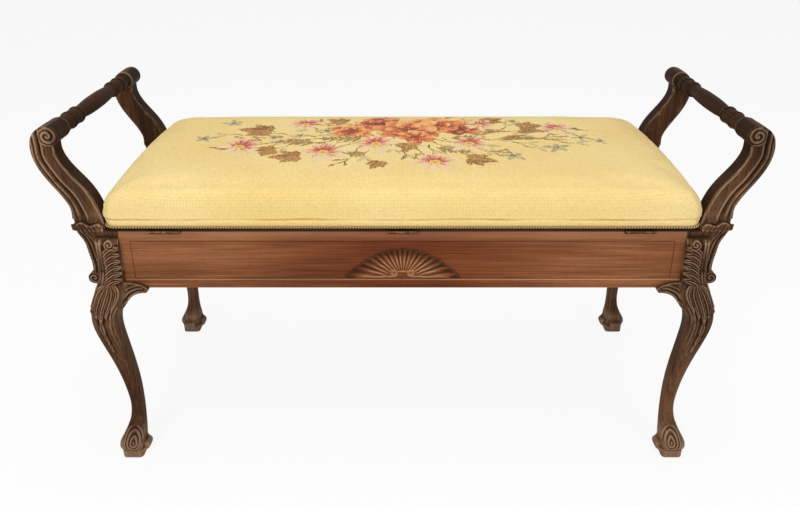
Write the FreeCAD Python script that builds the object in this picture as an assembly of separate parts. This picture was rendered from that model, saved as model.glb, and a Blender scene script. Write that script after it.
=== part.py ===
import FreeCAD, Part
import math
import os

from FreeCAD import Vector

# Long bench with a hinged, upholstered lid over a shallow compartment.
# Millimetres. X runs along the length, Y across the depth, Z up.
# The origin is on the floor under the middle; the lid is hinged on the -Y side.

# Frame of rails and corner posts
FRAME_LENGTH = 952.0      # over the outer faces of the end rails
FRAME_DEPTH = 368.0       # over the outer faces of the long rails
RAIL_TOP = 441.0          # height of the rail tops above the floor
RAIL_HEIGHT = 102.0
RAIL_THICK = 22.0
POST = 38.0               # square corner post at the head of each leg
POST_PROUD = 10.0         # the post stands this far in front of the rails
TENON_THICK = 9.0
TENON_LENGTH = 18.0
TENON_SHOULDER = 16.0     # rail wood above and below each tenon
JOINT_CLEAR = 0.1         # glue gap round tenons, dowels and screws
LINE_INSET = 16.0         # incised panel line from the rail edges
LINE_WIDTH = 2.0
LINE_DEPTH = 1.4

# Cabriole legs: reach of each section from the post axis, inwards and outwards
FOOT_PAD = 36.0           # square pad under the foot
FOOT_PAD_HEIGHT = 18.0
FOOT_SHIFT = 11.0         # foot axis outside the post axis
TOE_HEIGHT = 31.0
TOE_REACH = 20.5          # toe roll, half width
INSTEP_HEIGHT = 60.0
ANKLE_HEIGHT = 92.0
ANKLE_IN = 11.5
ANKLE_OUT = 10.0
HEEL_R = 9.0              # round lobes at the back of the foot
KNEE_DROP = 49.0          # knee below the rail bottom
KNEE_IN = 4.0
KNEE_OUT = 37.5
LEAF_DROP = 10.0          # carved post face stops this far under the rail top

# Arm supports with scrolled heads
ARM_THICK = 27.0
ARM_INSET = 16.0          # arm face behind the post face
ARM_BASE_OUT = 27.0       # middle of the arm foot outside the post axis
ARM_RISE = 157.0          # scroll axis above the rail top
ARM_SPLAY = 39.5          # scroll axis outside the middle of the arm foot
ARM_FOOT_WIDTH = 48.0
ARM_NECK_WIDTH = 36.6
SCROLL_R = 16.5
SCROLL_PROUD = 2.0
SCROLL_LENGTH = 45.0
FLUTE_R = 8.0
FLUTE_DEPTH = 3.2
VOLUTE_GROOVE = 1.7
CUFF_HEIGHT = 15.0        # carved leaf round the arm foot
CUFF_PROUD = 6.0

# Ears on the outer post faces
EAR_REACH = 32.0          # ear beyond the post face at the top
EAR_WAIST = 14.0
EAR_LOBE_R = 11.0
EAR_TAIL = 98.0           # ear length down the post
EAR_BEAD_R = 2.6          # groove along the ear edge

# Knee brackets
BRACKET_REACH = 36.0      # along the rail from the post face
BRACKET_LIP = 13.0        # laps up over the rail face
BRACKET_DROP = 36.0       # down the leg from the rail bottom
BRACKET_PROUD = 8.0       # lip in front of the rail face
BRACKET_BACK = 18.0       # under the rail, behind its face

# Carved fan shells on the long rails
SHELL_HALF = 97.0
SHELL_RISE = 54.0
SHELL_RIBS = 13
SHELL_PROUD = 5.0
SHELL_FLUTE = 3.6         # depth of the hollows at their scoops
SHELL_LIP = 3.0           # rim left outside the scoops
SHELL_HUB = 10.0          # the hollows start this far from the hub
CURL_R = 5.5

# Turned grips
GRIP_R = 13.6
GRIP_BEAD_R = 14.8
GRIP_NECK_R = 10.8
GRIP_TENON_R = 7.0
GRIP_TENON_LENGTH = 22.0

# Compartment
BOTTOM_THICK = 7.0
LEDGER = 13.0
BLOCK_LEG = 52.0          # corner block along each rail
BLOCK_HEIGHT = 44.0
BLOCK_SCREW_R = 2.0
BLOCK_SCREW_HEAD_R = 4.0
BLOCK_SCREW_LENGTH = 40.0

# Arm dowels
DOWEL_R = 4.0
DOWEL_DEPTH = 20.0        # into each of the two pieces

# Hinges
HINGE_FROM_END = 89.0     # middle of the outer hinges from the lid ends
HINGE_LENGTH = 50.0
HINGE_LEAF = 20.0
HINGE_THICK = 1.6
KNUCKLE_R = 2.75
KNUCKLES = 5
KNUCKLE_GAP = 0.3
PIN_R = 1.4
PIN_CLEAR = 0.05
SCREW_R = 1.5
SCREW_HEAD_R = 3.0
SCREW_LENGTH = 14.0

# Lid frame
LID_END_SETBACK = 13.0    # lid frame inside the outer faces of the end rails
LID_GAP = 1.0             # lid above the rail tops
LID_THICK = 22.0
LID_MEMBER = 56.0
LID_TENON = 20.0

# Upholstery
WEB_WIDTH = 50.0
WEB_THICK = 1.2
LONG_WEBS = 4
CROSS_WEBS = 9
CLOTH_THICK = 0.8
PAD_RISE = 54.0           # crown of the seat above the lid frame
SIDE_BULGE = 8.0          # long sides of the pad beyond the lid frame
END_BULGE = 7.5           # ends of the pad beyond the lid frame
COVER_THICK = 2.2
COVER_CLEAR = 0.3
SKIRT_UP = 6.0            # cover edge above the lid underside
GIMP_HEIGHT = 6.0
GIMP_THICK = 2.4
CORNER_R = 14.0
CROWN_CORNER_R = 30.0     # corners of the seat face
LINING_THICK = 0.6
LINING_MARGIN = 30.0
TACK_HEAD_R = 3.5
TACK_HEAD = 0.7
TACK_SHANK_R = 0.9
TACK_SHANK = 10.0
LONG_TACKS = 12
END_TACKS = 5

# Values that follow from the ones above
RAIL_BOTTOM = RAIL_TOP - RAIL_HEIGHT
FACE_Y = FRAME_DEPTH / 2
FACE_X = FRAME_LENGTH / 2
POST_X = FACE_X + POST_PROUD - POST / 2
POST_Y = FACE_Y + POST_PROUD - POST / 2
POST_IN_X = POST_X - POST / 2
POST_IN_Y = POST_Y - POST / 2
KNEE_Z = RAIL_BOTTOM - KNEE_DROP
LEAF_TOP = RAIL_TOP - LEAF_DROP
ARM_FACE = FACE_Y + POST_PROUD - ARM_INSET
ARM_BACK = ARM_FACE - ARM_THICK
ARM_X = POST_X + ARM_BASE_OUT
SCROLL_X = ARM_X + ARM_SPLAY
SCROLL_Z = RAIL_TOP + ARM_RISE
SCROLL_OUT = ARM_FACE + SCROLL_PROUD
SCROLL_IN = SCROLL_OUT - SCROLL_LENGTH
BOTTOM_Z = RAIL_BOTTOM + 2.0 + LEDGER
LID_HALF_LENGTH = FACE_X - LID_END_SETBACK
LID_Z = RAIL_TOP + LID_GAP
LID_TOP = LID_Z + LID_THICK
HINGE_Y = -(FACE_Y + KNUCKLE_R + 0.3)
HINGE_Z = RAIL_TOP + LID_GAP / 2
CLOTH_Z = LID_TOP + 2 * WEB_THICK
PAD_Z = CLOTH_Z + CLOTH_THICK
SKIRT_Z = LID_Z + SKIRT_UP
SKIRT_OUT = COVER_CLEAR + COVER_THICK
LID_CORNER_R = CORNER_R - SKIRT_OUT
DOWEL_Y = ARM_FACE - ARM_THICK / 2
DOWEL_XS = (POST_X + POST / 2 - DOWEL_R - 4.5, POST_X + POST / 2 + EAR_REACH / 2)


def box(x0, x1, y0, y1, z0, z1):
    return Part.makeBox(x1 - x0, y1 - y0, z1 - z0, Vector(x0, y0, z0))


def rod(radius, start, end):
    along = end - start
    return Part.makeCylinder(radius, along.Length, start, along)


def prism(points, direction):
    wire = Part.makePolygon([Vector(*p) for p in points] + [Vector(*points[0])])
    return Part.Face(wire).extrude(Vector(*direction))


def spline(points):
    curve = Part.BSplineCurve()
    curve.interpolate([Vector(*p) for p in points])
    return curve


def arc(start, middle, end):
    return Part.Arc(Vector(*start), Vector(*middle), Vector(*end)).toShape()


def line(start, end):
    return Part.makeLine(Vector(*start), Vector(*end))


def join(shapes):
    whole = shapes[0].fuse(shapes[1:]) if len(shapes) > 1 else shapes[0]
    return solid_of(whole.removeSplitter())


def solid_of(shape):
    """The one solid of a shape, or its largest where a cut left slivers."""
    return max(shape.Solids, key=lambda solid: solid.Volume)


def rounded_rectangle(x0, x1, y0, y1, radius, z):
    """Closed wire of four lines and four corner arcs, always in the same order."""
    k = radius * (1 - math.sqrt(0.5))
    edges = [
        line((x0 + radius, y0, z), (x1 - radius, y0, z)),
        arc((x1 - radius, y0, z), (x1 - k, y0 + k, z), (x1, y0 + radius, z)),
        line((x1, y0 + radius, z), (x1, y1 - radius, z)),
        arc((x1, y1 - radius, z), (x1 - k, y1 - k, z), (x1 - radius, y1, z)),
        line((x1 - radius, y1, z), (x0 + radius, y1, z)),
        arc((x0 + radius, y1, z), (x0 + k, y1 - k, z), (x0, y1 - radius, z)),
        line((x0, y1 - radius, z), (x0, y0 + radius, z)),
        arc((x0, y0 + radius, z), (x0 + k, y0 + k, z), (x0 + radius, y0, z)),
    ]
    return Part.Wire(edges)


def loft(wires):
    """Smooth solid through the wires, held to cubic surfaces."""
    return Part.makeLoft(wires, True, False, False, 3)


def groove(curve, radius):
    """Round cutter swept along a smooth curve."""
    start = curve.value(curve.FirstParameter)
    along = curve.tangent(curve.FirstParameter)[0]
    profile = Part.Wire(Part.makeCircle(radius, start, along))
    return Part.Wire(curve.toShape()).makePipeShell([profile], True, False)


def to_corner(shape, side_x, side_y):
    """A piece drawn at +X +Y, carried to another corner."""
    if side_x < 0:
        shape = shape.mirror(Vector(0, 0, 0), Vector(1, 0, 0))
    if side_y < 0:
        shape = shape.mirror(Vector(0, 0, 0), Vector(0, 1, 0))
    return shape


def across_post(shape):
    """Mirror a piece over the diagonal of its post, from long side to end."""
    return shape.mirror(Vector(POST_X, POST_Y, 0), Vector(1, -1, 0))


def ease(t):
    return t * t * (3 - 2 * t)


def leg_sections():
    """Height, inward reach, outward reach and corner radius of each section."""
    foot = FOOT_PAD / 2
    sections = [
        (FOOT_PAD_HEIGHT, foot - FOOT_SHIFT, foot + FOOT_SHIFT, 7.0),
        (TOE_HEIGHT, TOE_REACH - FOOT_SHIFT, TOE_REACH + FOOT_SHIFT, 11.0),
        (INSTEP_HEIGHT, ANKLE_IN - 1.0, ANKLE_OUT + 7.0, 8.0),
        (ANKLE_HEIGHT, ANKLE_IN, ANKLE_OUT, 7.0),
    ]
    for t in (0.25, 0.5, 0.75, 1.0):
        height = ANKLE_HEIGHT + t * (KNEE_Z - ANKLE_HEIGHT)
        swell = t ** 1.4
        lean = ease(t ** 1.3)
        half = (ANKLE_IN + ANKLE_OUT + swell * (KNEE_IN + KNEE_OUT - ANKLE_IN - ANKLE_OUT)) / 2
        shift = (ANKLE_OUT - ANKLE_IN + lean * (KNEE_OUT - KNEE_IN - ANKLE_OUT + ANKLE_IN)) / 2
        sections.append((height, half - shift, half + shift, 7.0 + 4.0 * t))
    head = RAIL_BOTTOM + 0.35 * RAIL_HEIGHT
    for t in (0.3, 0.58):
        height = KNEE_Z + t * (head - KNEE_Z)
        inner = KNEE_IN + ease(min(1.0, t / 0.58)) * (POST / 2 - KNEE_IN)
        outer = KNEE_OUT + ease(t) * (POST / 2 - KNEE_OUT)
        sections.append((height, inner, outer, 10.0 - 4.0 * t))
    sections.append((head, POST / 2, POST / 2, 5.0))
    return sections


def heel_lobes():
    """Short rolls on the two inner sides of the foot."""
    foot_x, foot_y = POST_X + FOOT_SHIFT, POST_Y + FOOT_SHIFT
    z = FOOT_PAD_HEIGHT + 0.2 * HEEL_R
    side = Vector(foot_x - TOE_REACH, foot_y, z)
    back = Vector(foot_x, foot_y - TOE_REACH, z)
    half = 0.55 * TOE_REACH
    return [
        rod(HEEL_R, side - Vector(0, half, 0), side + Vector(0, half, 0)),
        rod(HEEL_R, back - Vector(half, 0, 0), back + Vector(half, 0, 0)),
    ]


def leg_blank():
    """Cabriole leg with its post and foot pad, before the joints are cut."""
    wires = []
    for z, inner, outer, radius in leg_sections():
        wires.append(rounded_rectangle(POST_X - inner, POST_X + outer,
                                       POST_Y - inner, POST_Y + outer, radius, z))
    curve = loft(wires)
    head = leg_sections()[-1][0]
    low, high = POST / 2, POST / 2
    face = Part.Face(rounded_rectangle(POST_X - low, POST_X + high,
                                       POST_Y - low, POST_Y + high, 5.0, head))
    post = face.extrude(Vector(0, 0, RAIL_TOP - head))
    over = POST_PROUD + 1.0
    step = box(POST_IN_X - 1, POST_X + POST, FACE_Y, FACE_Y + over, LEAF_TOP, RAIL_TOP + 1)
    post = post.cut(step)
    reach = FOOT_PAD / 2
    foot_x, foot_y = POST_X + FOOT_SHIFT, POST_Y + FOOT_SHIFT
    pad = box(foot_x - reach, foot_x + reach, foot_y - reach, foot_y + reach, 0, FOOT_PAD_HEIGHT)
    upright = [e for e in pad.Edges if abs(e.Vertexes[0].Z - e.Vertexes[1].Z) > 1]
    pad = pad.makeFillet(7.0, upright)
    floor = [e for e in pad.Edges if e.BoundBox.ZMax < 0.1]
    pad = pad.makeChamfer(1.5, floor)
    return join([curve, post, pad] + heel_lobes())


def rail_tenon_heights():
    return RAIL_BOTTOM + TENON_SHOULDER, RAIL_TOP - DOWEL_DEPTH - 3.0


def long_tenon(clear):
    middle = FACE_Y - RAIL_THICK / 2
    low, high = rail_tenon_heights()
    half = TENON_THICK / 2 + clear
    return box(POST_IN_X - 1, POST_IN_X + TENON_LENGTH + clear, middle - half, middle + half,
               low - clear, high + clear)


def end_tenon(clear):
    """Stops short of the long tenon, which it meets inside the post."""
    middle = FACE_X - RAIL_THICK / 2
    low, high = rail_tenon_heights()
    half = TENON_THICK / 2 + clear
    end = FACE_Y - RAIL_THICK / 2 - TENON_THICK / 2 - 1.5
    return box(middle - half, middle + half, POST_IN_Y - 1, end + clear, low - clear, high + clear)


def arm_dowels(clear):
    pins = []
    for x in DOWEL_XS:
        pins.append(rod(DOWEL_R + clear, Vector(x, DOWEL_Y, RAIL_TOP - DOWEL_DEPTH - clear),
                        Vector(x, DOWEL_Y, RAIL_TOP + DOWEL_DEPTH + clear)))
    return pins


def block_screws(clear):
    """Two screws through each corner block into the post."""
    reach = POST_IN_X - (FACE_X - RAIL_THICK - BLOCK_LEG / 2)
    start = Vector(POST_IN_X - reach, POST_IN_Y - reach, 0)
    along = Vector(1, 1, 0).normalize()
    screws = []
    for share in (0.28, 0.72):
        base = start + Vector(0, 0, block_bottom() + share * BLOCK_HEIGHT)
        shank = rod(BLOCK_SCREW_R + clear, base, base + along * (BLOCK_SCREW_LENGTH + clear))
        head = rod(BLOCK_SCREW_HEAD_R + clear, base - along * 3.0, base + along * 3.0)
        screws.append(shank.fuse(head))
    return screws


def rail_seats():
    """Room for the ends of the two rails that butt against the post."""
    far = 2 * POST
    long_seat = box(POST_IN_X - far, POST_IN_X, FACE_Y - RAIL_THICK, FACE_Y, RAIL_BOTTOM, RAIL_TOP)
    end_seat = box(FACE_X - RAIL_THICK, FACE_X, POST_IN_Y - far, POST_IN_Y, RAIL_BOTTOM, RAIL_TOP)
    return [long_seat, end_seat]


def leg(blank):
    cutters = [long_tenon(JOINT_CLEAR), end_tenon(JOINT_CLEAR)] + rail_seats()
    cutters += arm_dowels(JOINT_CLEAR)[:1] + block_screws(JOINT_CLEAR)
    return solid_of(blank.cut(cutters))


def arm_points():
    """Middle line of the arm in the XZ plane with the half width at each point."""
    foot, neck = ARM_FOOT_WIDTH / 2, ARM_NECK_WIDTH / 2
    shape = [(0.0, 0.0, foot), (0.0, 0.145, neck + 3.0), (0.31, 0.37, neck + 1.5),
             (0.85, 0.57, neck), (1.24, 0.77, neck), (1.27, 0.905, neck)]
    return [(ARM_X + sx * ARM_SPLAY, RAIL_TOP + sz * ARM_RISE, half) for sx, sz, half in shape]


def arm_offset(share):
    """Points beside the middle line at a share of the half width, outwards positive.

    The first pair is level, because the arm foot stands flat on the post and rail.
    """
    points = arm_points()
    middle = spline([(x, 0, z) for x, z, half in points])
    x, z, half = points[0]
    result = [(x + half * share, z)]
    for x, z, half in points[1:]:
        along = middle.tangent(middle.parameter(Vector(x, 0, z)))[0]
        result.append((x + along.z * half * share, z - along.x * half * share))
    return result


def arm_board():
    outer = arm_offset(1.0)
    inner = arm_offset(-1.0)
    start = math.atan2(outer[-1][1] - SCROLL_Z, outer[-1][0] - SCROLL_X)
    reach = math.hypot(outer[-1][1] - SCROLL_Z, outer[-1][0] - SCROLL_X)
    turn = []
    for t in (0.3, 0.65, 1.0):
        angle = start + t * (math.radians(65) - start)
        radius = SCROLL_R + (reach - SCROLL_R) * (1 - t) ** 2
        turn.append((SCROLL_X + radius * math.cos(angle), SCROLL_Z + radius * math.sin(angle)))
    outside = spline([(x, ARM_BACK, z) for x, z in outer + turn])
    inside = spline([(x, ARM_BACK, z) for x, z in inner])
    centre = (SCROLL_X, ARM_BACK, SCROLL_Z)
    edges = [
        outside.toShape(),
        line((turn[-1][0], ARM_BACK, turn[-1][1]), centre),
        line(centre, (inner[-1][0], ARM_BACK, inner[-1][1])),
        inside.toShape(),
        line((inner[0][0], ARM_BACK, inner[0][1]), (outer[0][0], ARM_BACK, outer[0][1])),
    ]
    face = Part.Face(Part.Wire(Part.__sortEdges__(edges)))
    return face.extrude(Vector(0, ARM_THICK, 0))


def arm_flutes(face_y, side):
    """Two long hollows on one face of the arm, running out at both ends."""
    cutters = []
    for share in (-0.45, 0.5):
        points = arm_offset(share)
        lift = [6.0, 0.0, 0.0, 0.0, 0.0, 5.0]
        path = [(x, face_y + side * (FLUTE_R - FLUTE_DEPTH + rise), z)
                for (x, z), rise in zip(points, lift)]
        cutters.append(groove(spline(path), FLUTE_R))
    return cutters


def volute():
    """Spiral groove on the outer end of a scroll log, as half circles."""
    edges = []
    radius = SCROLL_R - 2.2 * VOLUTE_GROOVE
    pitch = 2.9 * VOLUTE_GROOVE
    centre = SCROLL_X
    side = -1
    for turn in range(4):
        start = (centre - side * radius, SCROLL_OUT, SCROLL_Z)
        middle = (centre, SCROLL_OUT, SCROLL_Z - side * radius)
        end = (centre + side * radius, SCROLL_OUT, SCROLL_Z)
        edges.append(arc(start, middle, end))
        centre += side * pitch / 2
        radius -= pitch / 2
        side = -side
    path = Part.Wire(edges)
    first = edges[0]
    along = first.tangentAt(first.FirstParameter)
    profile = Part.Wire(Part.makeCircle(VOLUTE_GROOVE, first.valueAt(first.FirstParameter), along))
    return path.makePipeShell([profile], True, False)


def arm_cuff():
    """Leaf with a waved edge, carved in one with the arm foot."""
    outer = arm_offset(1.0)
    inner = arm_offset(-1.0)
    x0, x1 = inner[0][0] + 1.0, outer[0][0] + 2.5
    y = ARM_FACE - 1.0
    span = x1 - x0
    wave = [(x0, y, RAIL_TOP + 0.45 * CUFF_HEIGHT),
            (x0 + 0.2 * span, y, RAIL_TOP + 0.8 * CUFF_HEIGHT),
            (x0 + 0.42 * span, y, RAIL_TOP + 0.6 * CUFF_HEIGHT),
            (x0 + 0.68 * span, y, RAIL_TOP + CUFF_HEIGHT),
            (x0 + 0.86 * span, y, RAIL_TOP + 0.7 * CUFF_HEIGHT),
            (x1, y, RAIL_TOP + 0.9 * CUFF_HEIGHT)]
    edges = [spline(wave).toShape(), line(wave[-1], (x1, y, RAIL_TOP)),
             line((x1, y, RAIL_TOP), (x0, y, RAIL_TOP)), line((x0, y, RAIL_TOP), wave[0])]
    return Part.Face(Part.Wire(edges)).extrude(Vector(0, CUFF_PROUD + 1.0, 0))


def arm():
    log = rod(SCROLL_R, Vector(SCROLL_X, SCROLL_IN, SCROLL_Z), Vector(SCROLL_X, SCROLL_OUT, SCROLL_Z))
    board = arm_board().cut(arm_flutes(ARM_FACE, 1) + arm_flutes(ARM_BACK, -1))
    bore = rod(GRIP_TENON_R + JOINT_CLEAR, Vector(SCROLL_X, SCROLL_IN - 1, SCROLL_Z),
               Vector(SCROLL_X, SCROLL_IN + GRIP_TENON_LENGTH + 0.5, SCROLL_Z))
    whole = board.fuse([log, arm_cuff()])
    return solid_of(whole.cut([volute(), bore] + arm_dowels(JOINT_CLEAR)))


def ear_edge():
    """Outer edge of the ear from the top down to its lobe."""
    face = POST_X + POST / 2
    points = [(EAR_REACH, 0.0), (0.94 * EAR_REACH, 0.06), (0.71 * EAR_REACH, 0.17),
              (EAR_WAIST + 3.0, 0.42), (EAR_WAIST, 0.66), (EAR_WAIST + 1.5, 0.80)]
    return [(face + reach, RAIL_TOP - drop * EAR_TAIL) for reach, drop in points]


def ear(blank):
    face = POST_X + POST / 2
    y = ARM_BACK
    edge = ear_edge()
    lobe_x, lobe_z = edge[-1]
    end_z = RAIL_TOP - EAR_TAIL
    end_x = lobe_x + 1.0
    edges = [
        spline([(x, y, z) for x, z in edge]).toShape(),
        arc((lobe_x, y, lobe_z), (lobe_x + 0.86 * EAR_LOBE_R, y, 0.5 * (lobe_z + end_z)),
            (end_x, y, end_z)),
        line((end_x, y, end_z), (face - 2, y, end_z)),
        line((face - 2, y, end_z), (face - 2, y, RAIL_TOP)),
        line((face - 2, y, RAIL_TOP), (edge[0][0], y, RAIL_TOP)),
    ]
    body = Part.Face(Part.Wire(edges)).extrude(Vector(0, ARM_THICK, 0))
    inset = 2.4 * EAR_BEAD_R
    cutters = []
    for face_y, side in ((ARM_FACE, 1), (ARM_BACK, -1)):
        path = [(x - inset, face_y + side * 0.4 * EAR_BEAD_R, z) for x, z in edge[1:]]
        cutters.append(groove(spline(path), EAR_BEAD_R))
    body = body.cut(cutters + arm_dowels(JOINT_CLEAR)[1:])
    return solid_of(body.cut(blank))


def knee_bracket(blank):
    """Bracket at the long rail: lies under the rail and laps up over its face."""
    x = POST_IN_X
    into = x + 26.0
    tip = x - BRACKET_REACH
    low, y = RAIL_BOTTOM, FACE_Y - BRACKET_BACK
    top = [(into, y, low + BRACKET_LIP), (x - 0.1 * BRACKET_REACH, y, low + BRACKET_LIP),
           (x - 0.6 * BRACKET_REACH, y, low + 0.8 * BRACKET_LIP),
           (tip + 3.0, y, low + 0.35 * BRACKET_LIP)]
    under = [(tip + 5.0, y, low - 6.0), (x - 0.62 * BRACKET_REACH, y, low - 6.5),
             (x - 0.25 * BRACKET_REACH, y, low - 0.36 * BRACKET_DROP),
             (x + 2.0, y, low - 0.75 * BRACKET_DROP), (into, y, low - BRACKET_DROP - 8.0)]
    edges = [
        spline(top).toShape(),
        arc(top[-1], (tip, y, low - 1.5), under[0]),
        spline(under).toShape(),
        line(under[-1], top[0]),
    ]
    body = Part.Face(Part.Wire(edges)).extrude(Vector(0, BRACKET_BACK + BRACKET_PROUD, 0))
    front = FACE_Y + BRACKET_PROUD
    path = [(px, front + 0.5, pz + 6.5) for px, py, pz in under[1:-1]]
    body = body.cut(groove(spline(path), 2.2))
    rail = box(0, FACE_X, FACE_Y - RAIL_THICK, FACE_Y, RAIL_BOTTOM, RAIL_TOP)
    return solid_of(body.cut([rail, blank, post_mitre()]))


def post_mitre():
    """Everything on the end side of the diagonal through the post."""
    far = 2 * (BRACKET_REACH + POST)
    gap = JOINT_CLEAR / 2
    corners = [(POST_X - far, POST_Y - far + gap, 0), (POST_X + far, POST_Y + far + gap, 0),
               (POST_X + far, POST_Y - far, 0)]
    return prism(corners, (0, 0, RAIL_TOP))


def hinge_xs():
    outer = LID_HALF_LENGTH - HINGE_FROM_END
    return (-outer, 0.0, outer)


def leaf_recess(x, z0, z1):
    return box(x - HINGE_LENGTH / 2 - JOINT_CLEAR, x + HINGE_LENGTH / 2 + JOINT_CLEAR,
               -FACE_Y - 1, -FACE_Y + HINGE_LEAF + JOINT_CLEAR, z0, z1)


def panel_lines(half_length, along_x, face):
    """Incised rectangle on a rail face, as four shallow slots."""
    low, high = RAIL_BOTTOM + LINE_INSET, RAIL_TOP - LINE_INSET
    end = half_length - LINE_INSET
    spans = [(-end, end, low, low + LINE_WIDTH), (-end, end, high - LINE_WIDTH, high),
             (-end, -end + LINE_WIDTH, low, high), (end - LINE_WIDTH, end, low, high)]
    slots = []
    for a, b, z0, z1 in spans:
        if along_x:
            slots.append(box(a, b, face - LINE_DEPTH, face + 1, z0, z1))
        else:
            slots.append(box(face - LINE_DEPTH, face + 1, a, b, z0, z1))
    return slots


def long_rail(hinged):
    """Rail on the +Y side, or with hinge seats on the -Y side."""
    body = box(-POST_IN_X, POST_IN_X, FACE_Y - RAIL_THICK, FACE_Y, RAIL_BOTTOM, RAIL_TOP)
    tenon = long_tenon(0)
    body = join([body, tenon, to_corner(tenon, -1, 1)])
    body = body.cut(panel_lines(POST_IN_X, True, FACE_Y))
    if not hinged:
        return solid_of(body)
    body = to_corner(body, 1, -1)
    cutters = [leaf_recess(x, RAIL_TOP - HINGE_THICK, RAIL_TOP + 1) for x in hinge_xs()]
    for x in hinge_xs():
        cutters += leaf_screws(x, RAIL_TOP, -1, JOINT_CLEAR)
    return solid_of(body.cut(cutters))


def end_rail():
    body = box(FACE_X - RAIL_THICK, FACE_X, -POST_IN_Y, POST_IN_Y, RAIL_BOTTOM, RAIL_TOP)
    tenon = end_tenon(0)
    body = join([body, tenon, to_corner(tenon, 1, -1)])
    return solid_of(body.cut(panel_lines(POST_IN_Y, False, FACE_X)))


def shell_rim(angle):
    """Distance of the fan edge from its hub: a low arch that runs out to points at its ends."""
    c, s = abs(math.cos(angle)), math.sin(angle)
    near, far = 0.0, SHELL_HALF / max(c, SHELL_HALF / (2 * SHELL_RISE) * s)
    for step in range(40):
        rim = (near + far) / 2
        arch = SHELL_RISE * max(0.0, 1 - (rim * c / SHELL_HALF) ** 2) ** 0.8
        if rim * s < arch:
            near = rim
        else:
            far = rim
    return near


def shell_plate():
    """Fan outline on the rail face, as thick as the carving stands proud."""
    count = 24
    points = []
    for index in range(count + 1):
        angle = math.pi * index / count
        rim = shell_rim(angle)
        points.append((rim * math.cos(angle), 0, rim * math.sin(angle)))
    edges = [spline(points).toShape(), line(points[-1], points[0])]
    return Part.Face(Part.Wire(edges)).extrude(Vector(0, SHELL_PROUD, 0))


def shell_flutes():
    """Tapering hollows from the hub, each ending in a round scoop inside the rim."""
    step = math.pi / SHELL_RIBS
    start_r = 1.0
    cutters = []
    for index in range(SHELL_RIBS):
        angle = (index + 0.5) * step
        aim = Vector(math.cos(angle), 0, math.sin(angle))
        rim = shell_rim(angle)
        half = 0.42 * step * rim
        scoop_r = (half * half + SHELL_FLUTE * SHELL_FLUTE) / (2 * SHELL_FLUTE)
        end = aim * (rim - SHELL_LIP - half) + Vector(0, SHELL_PROUD + scoop_r - SHELL_FLUTE, 0)
        start = aim * SHELL_HUB + Vector(0, SHELL_PROUD, 0)
        along = end - start
        cutters.append(Part.makeCone(start_r, scoop_r - 0.1, along.Length, start, along))
        cutters.append(Part.makeSphere(scoop_r, end))
    return cutters


def shell_curls():
    """Two ringed curls and a round boss at the hub."""
    proud = SHELL_PROUD + 0.5
    across = Vector(0, 1, 0)
    pieces = [Part.makeSphere(CURL_R - 0.5, Vector(0, 1.5, CURL_R + 1.5))]
    for side in (-1, 1):
        at = Vector(side * 1.7 * CURL_R, 0, CURL_R + 0.5)
        ring = Part.makeCylinder(0.65 * CURL_R, 2.0, at + across * (proud - 1.5), across)
        ring = ring.cut(Part.makeCylinder(0.36 * CURL_R, 2.0, at + across * (proud - 1.5), across))
        pieces.append(Part.makeCylinder(CURL_R, proud, at, across).cut(ring))
    front = box(-SHELL_HALF, SHELL_HALF, 0, 2 * proud, 0, 2 * SHELL_RISE)
    return [piece.common(front) for piece in pieces]


def shell():
    """Carved fan, drawn about its hub and then set on the face of the +Y rail."""
    hub = Vector(0, FACE_Y, RAIL_BOTTOM + LINE_INSET + LINE_WIDTH + 1.0)
    fan = solid_of(shell_plate().cut(shell_flutes()))
    whole = solid_of(fan.fuse(shell_curls()))
    whole.translate(hub)
    return whole


def grip_profile():
    """Half of the turned grip: distance from the middle and radius of each step."""
    end = SCROLL_IN
    u = end / 135.0
    return [
        ("start", end, GRIP_BEAD_R - 1.0),
        ("arc", end - 3.5 * u, GRIP_BEAD_R + 0.6, end - 7.0 * u, GRIP_BEAD_R - 1.0),
        ("arc", end - 9.5 * u, GRIP_NECK_R + 1.2, end - 14.0 * u, GRIP_NECK_R + 1.6),
        ("arc", end - 22.0 * u, GRIP_R - 0.6, end - 31.0 * u, GRIP_R - 0.8),
        ("arc", end - 33.0 * u, GRIP_BEAD_R, end - 35.0 * u, GRIP_R - 1.0),
        ("arc", end - 46.0 * u, GRIP_R - 0.1, end - 58.0 * u, GRIP_R - 1.0),
        ("arc", end - 61.0 * u, GRIP_BEAD_R - 0.2, end - 64.0 * u, GRIP_R - 1.2),
        ("arc", end - 68.0 * u, GRIP_NECK_R + 0.4, end - 74.0 * u, GRIP_NECK_R),
        ("arc", 0.5 * (end - 74.0 * u), 0.5 * (GRIP_NECK_R + GRIP_R) + 0.9, 0.0, GRIP_R),
    ]


def grip():
    steps = grip_profile()
    half = []
    y, r = steps[0][1], steps[0][2]
    half.append(line((SCROLL_X, y, SCROLL_Z), (SCROLL_X, y, SCROLL_Z + r)))
    for kind, my, mr, ey, er in steps[1:]:
        half.append(arc((SCROLL_X, y, SCROLL_Z + r), (SCROLL_X, my, SCROLL_Z + mr),
                        (SCROLL_X, ey, SCROLL_Z + er)))
        y, r = ey, er
    half.append(line((SCROLL_X, y, SCROLL_Z + r), (SCROLL_X, y, SCROLL_Z)))
    half.append(line((SCROLL_X, y, SCROLL_Z), (SCROLL_X, steps[0][1], SCROLL_Z)))
    turned = Part.Face(Part.Wire(half)).revolve(Vector(SCROLL_X, 0, SCROLL_Z), Vector(0, 1, 0), 360)
    tenon = rod(GRIP_TENON_R, Vector(SCROLL_X, SCROLL_IN - 5, SCROLL_Z),
                Vector(SCROLL_X, SCROLL_IN + GRIP_TENON_LENGTH, SCROLL_Z))
    side = solid_of(turned.fuse(tenon))
    return join([side, to_corner(side, 1, -1)])


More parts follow.
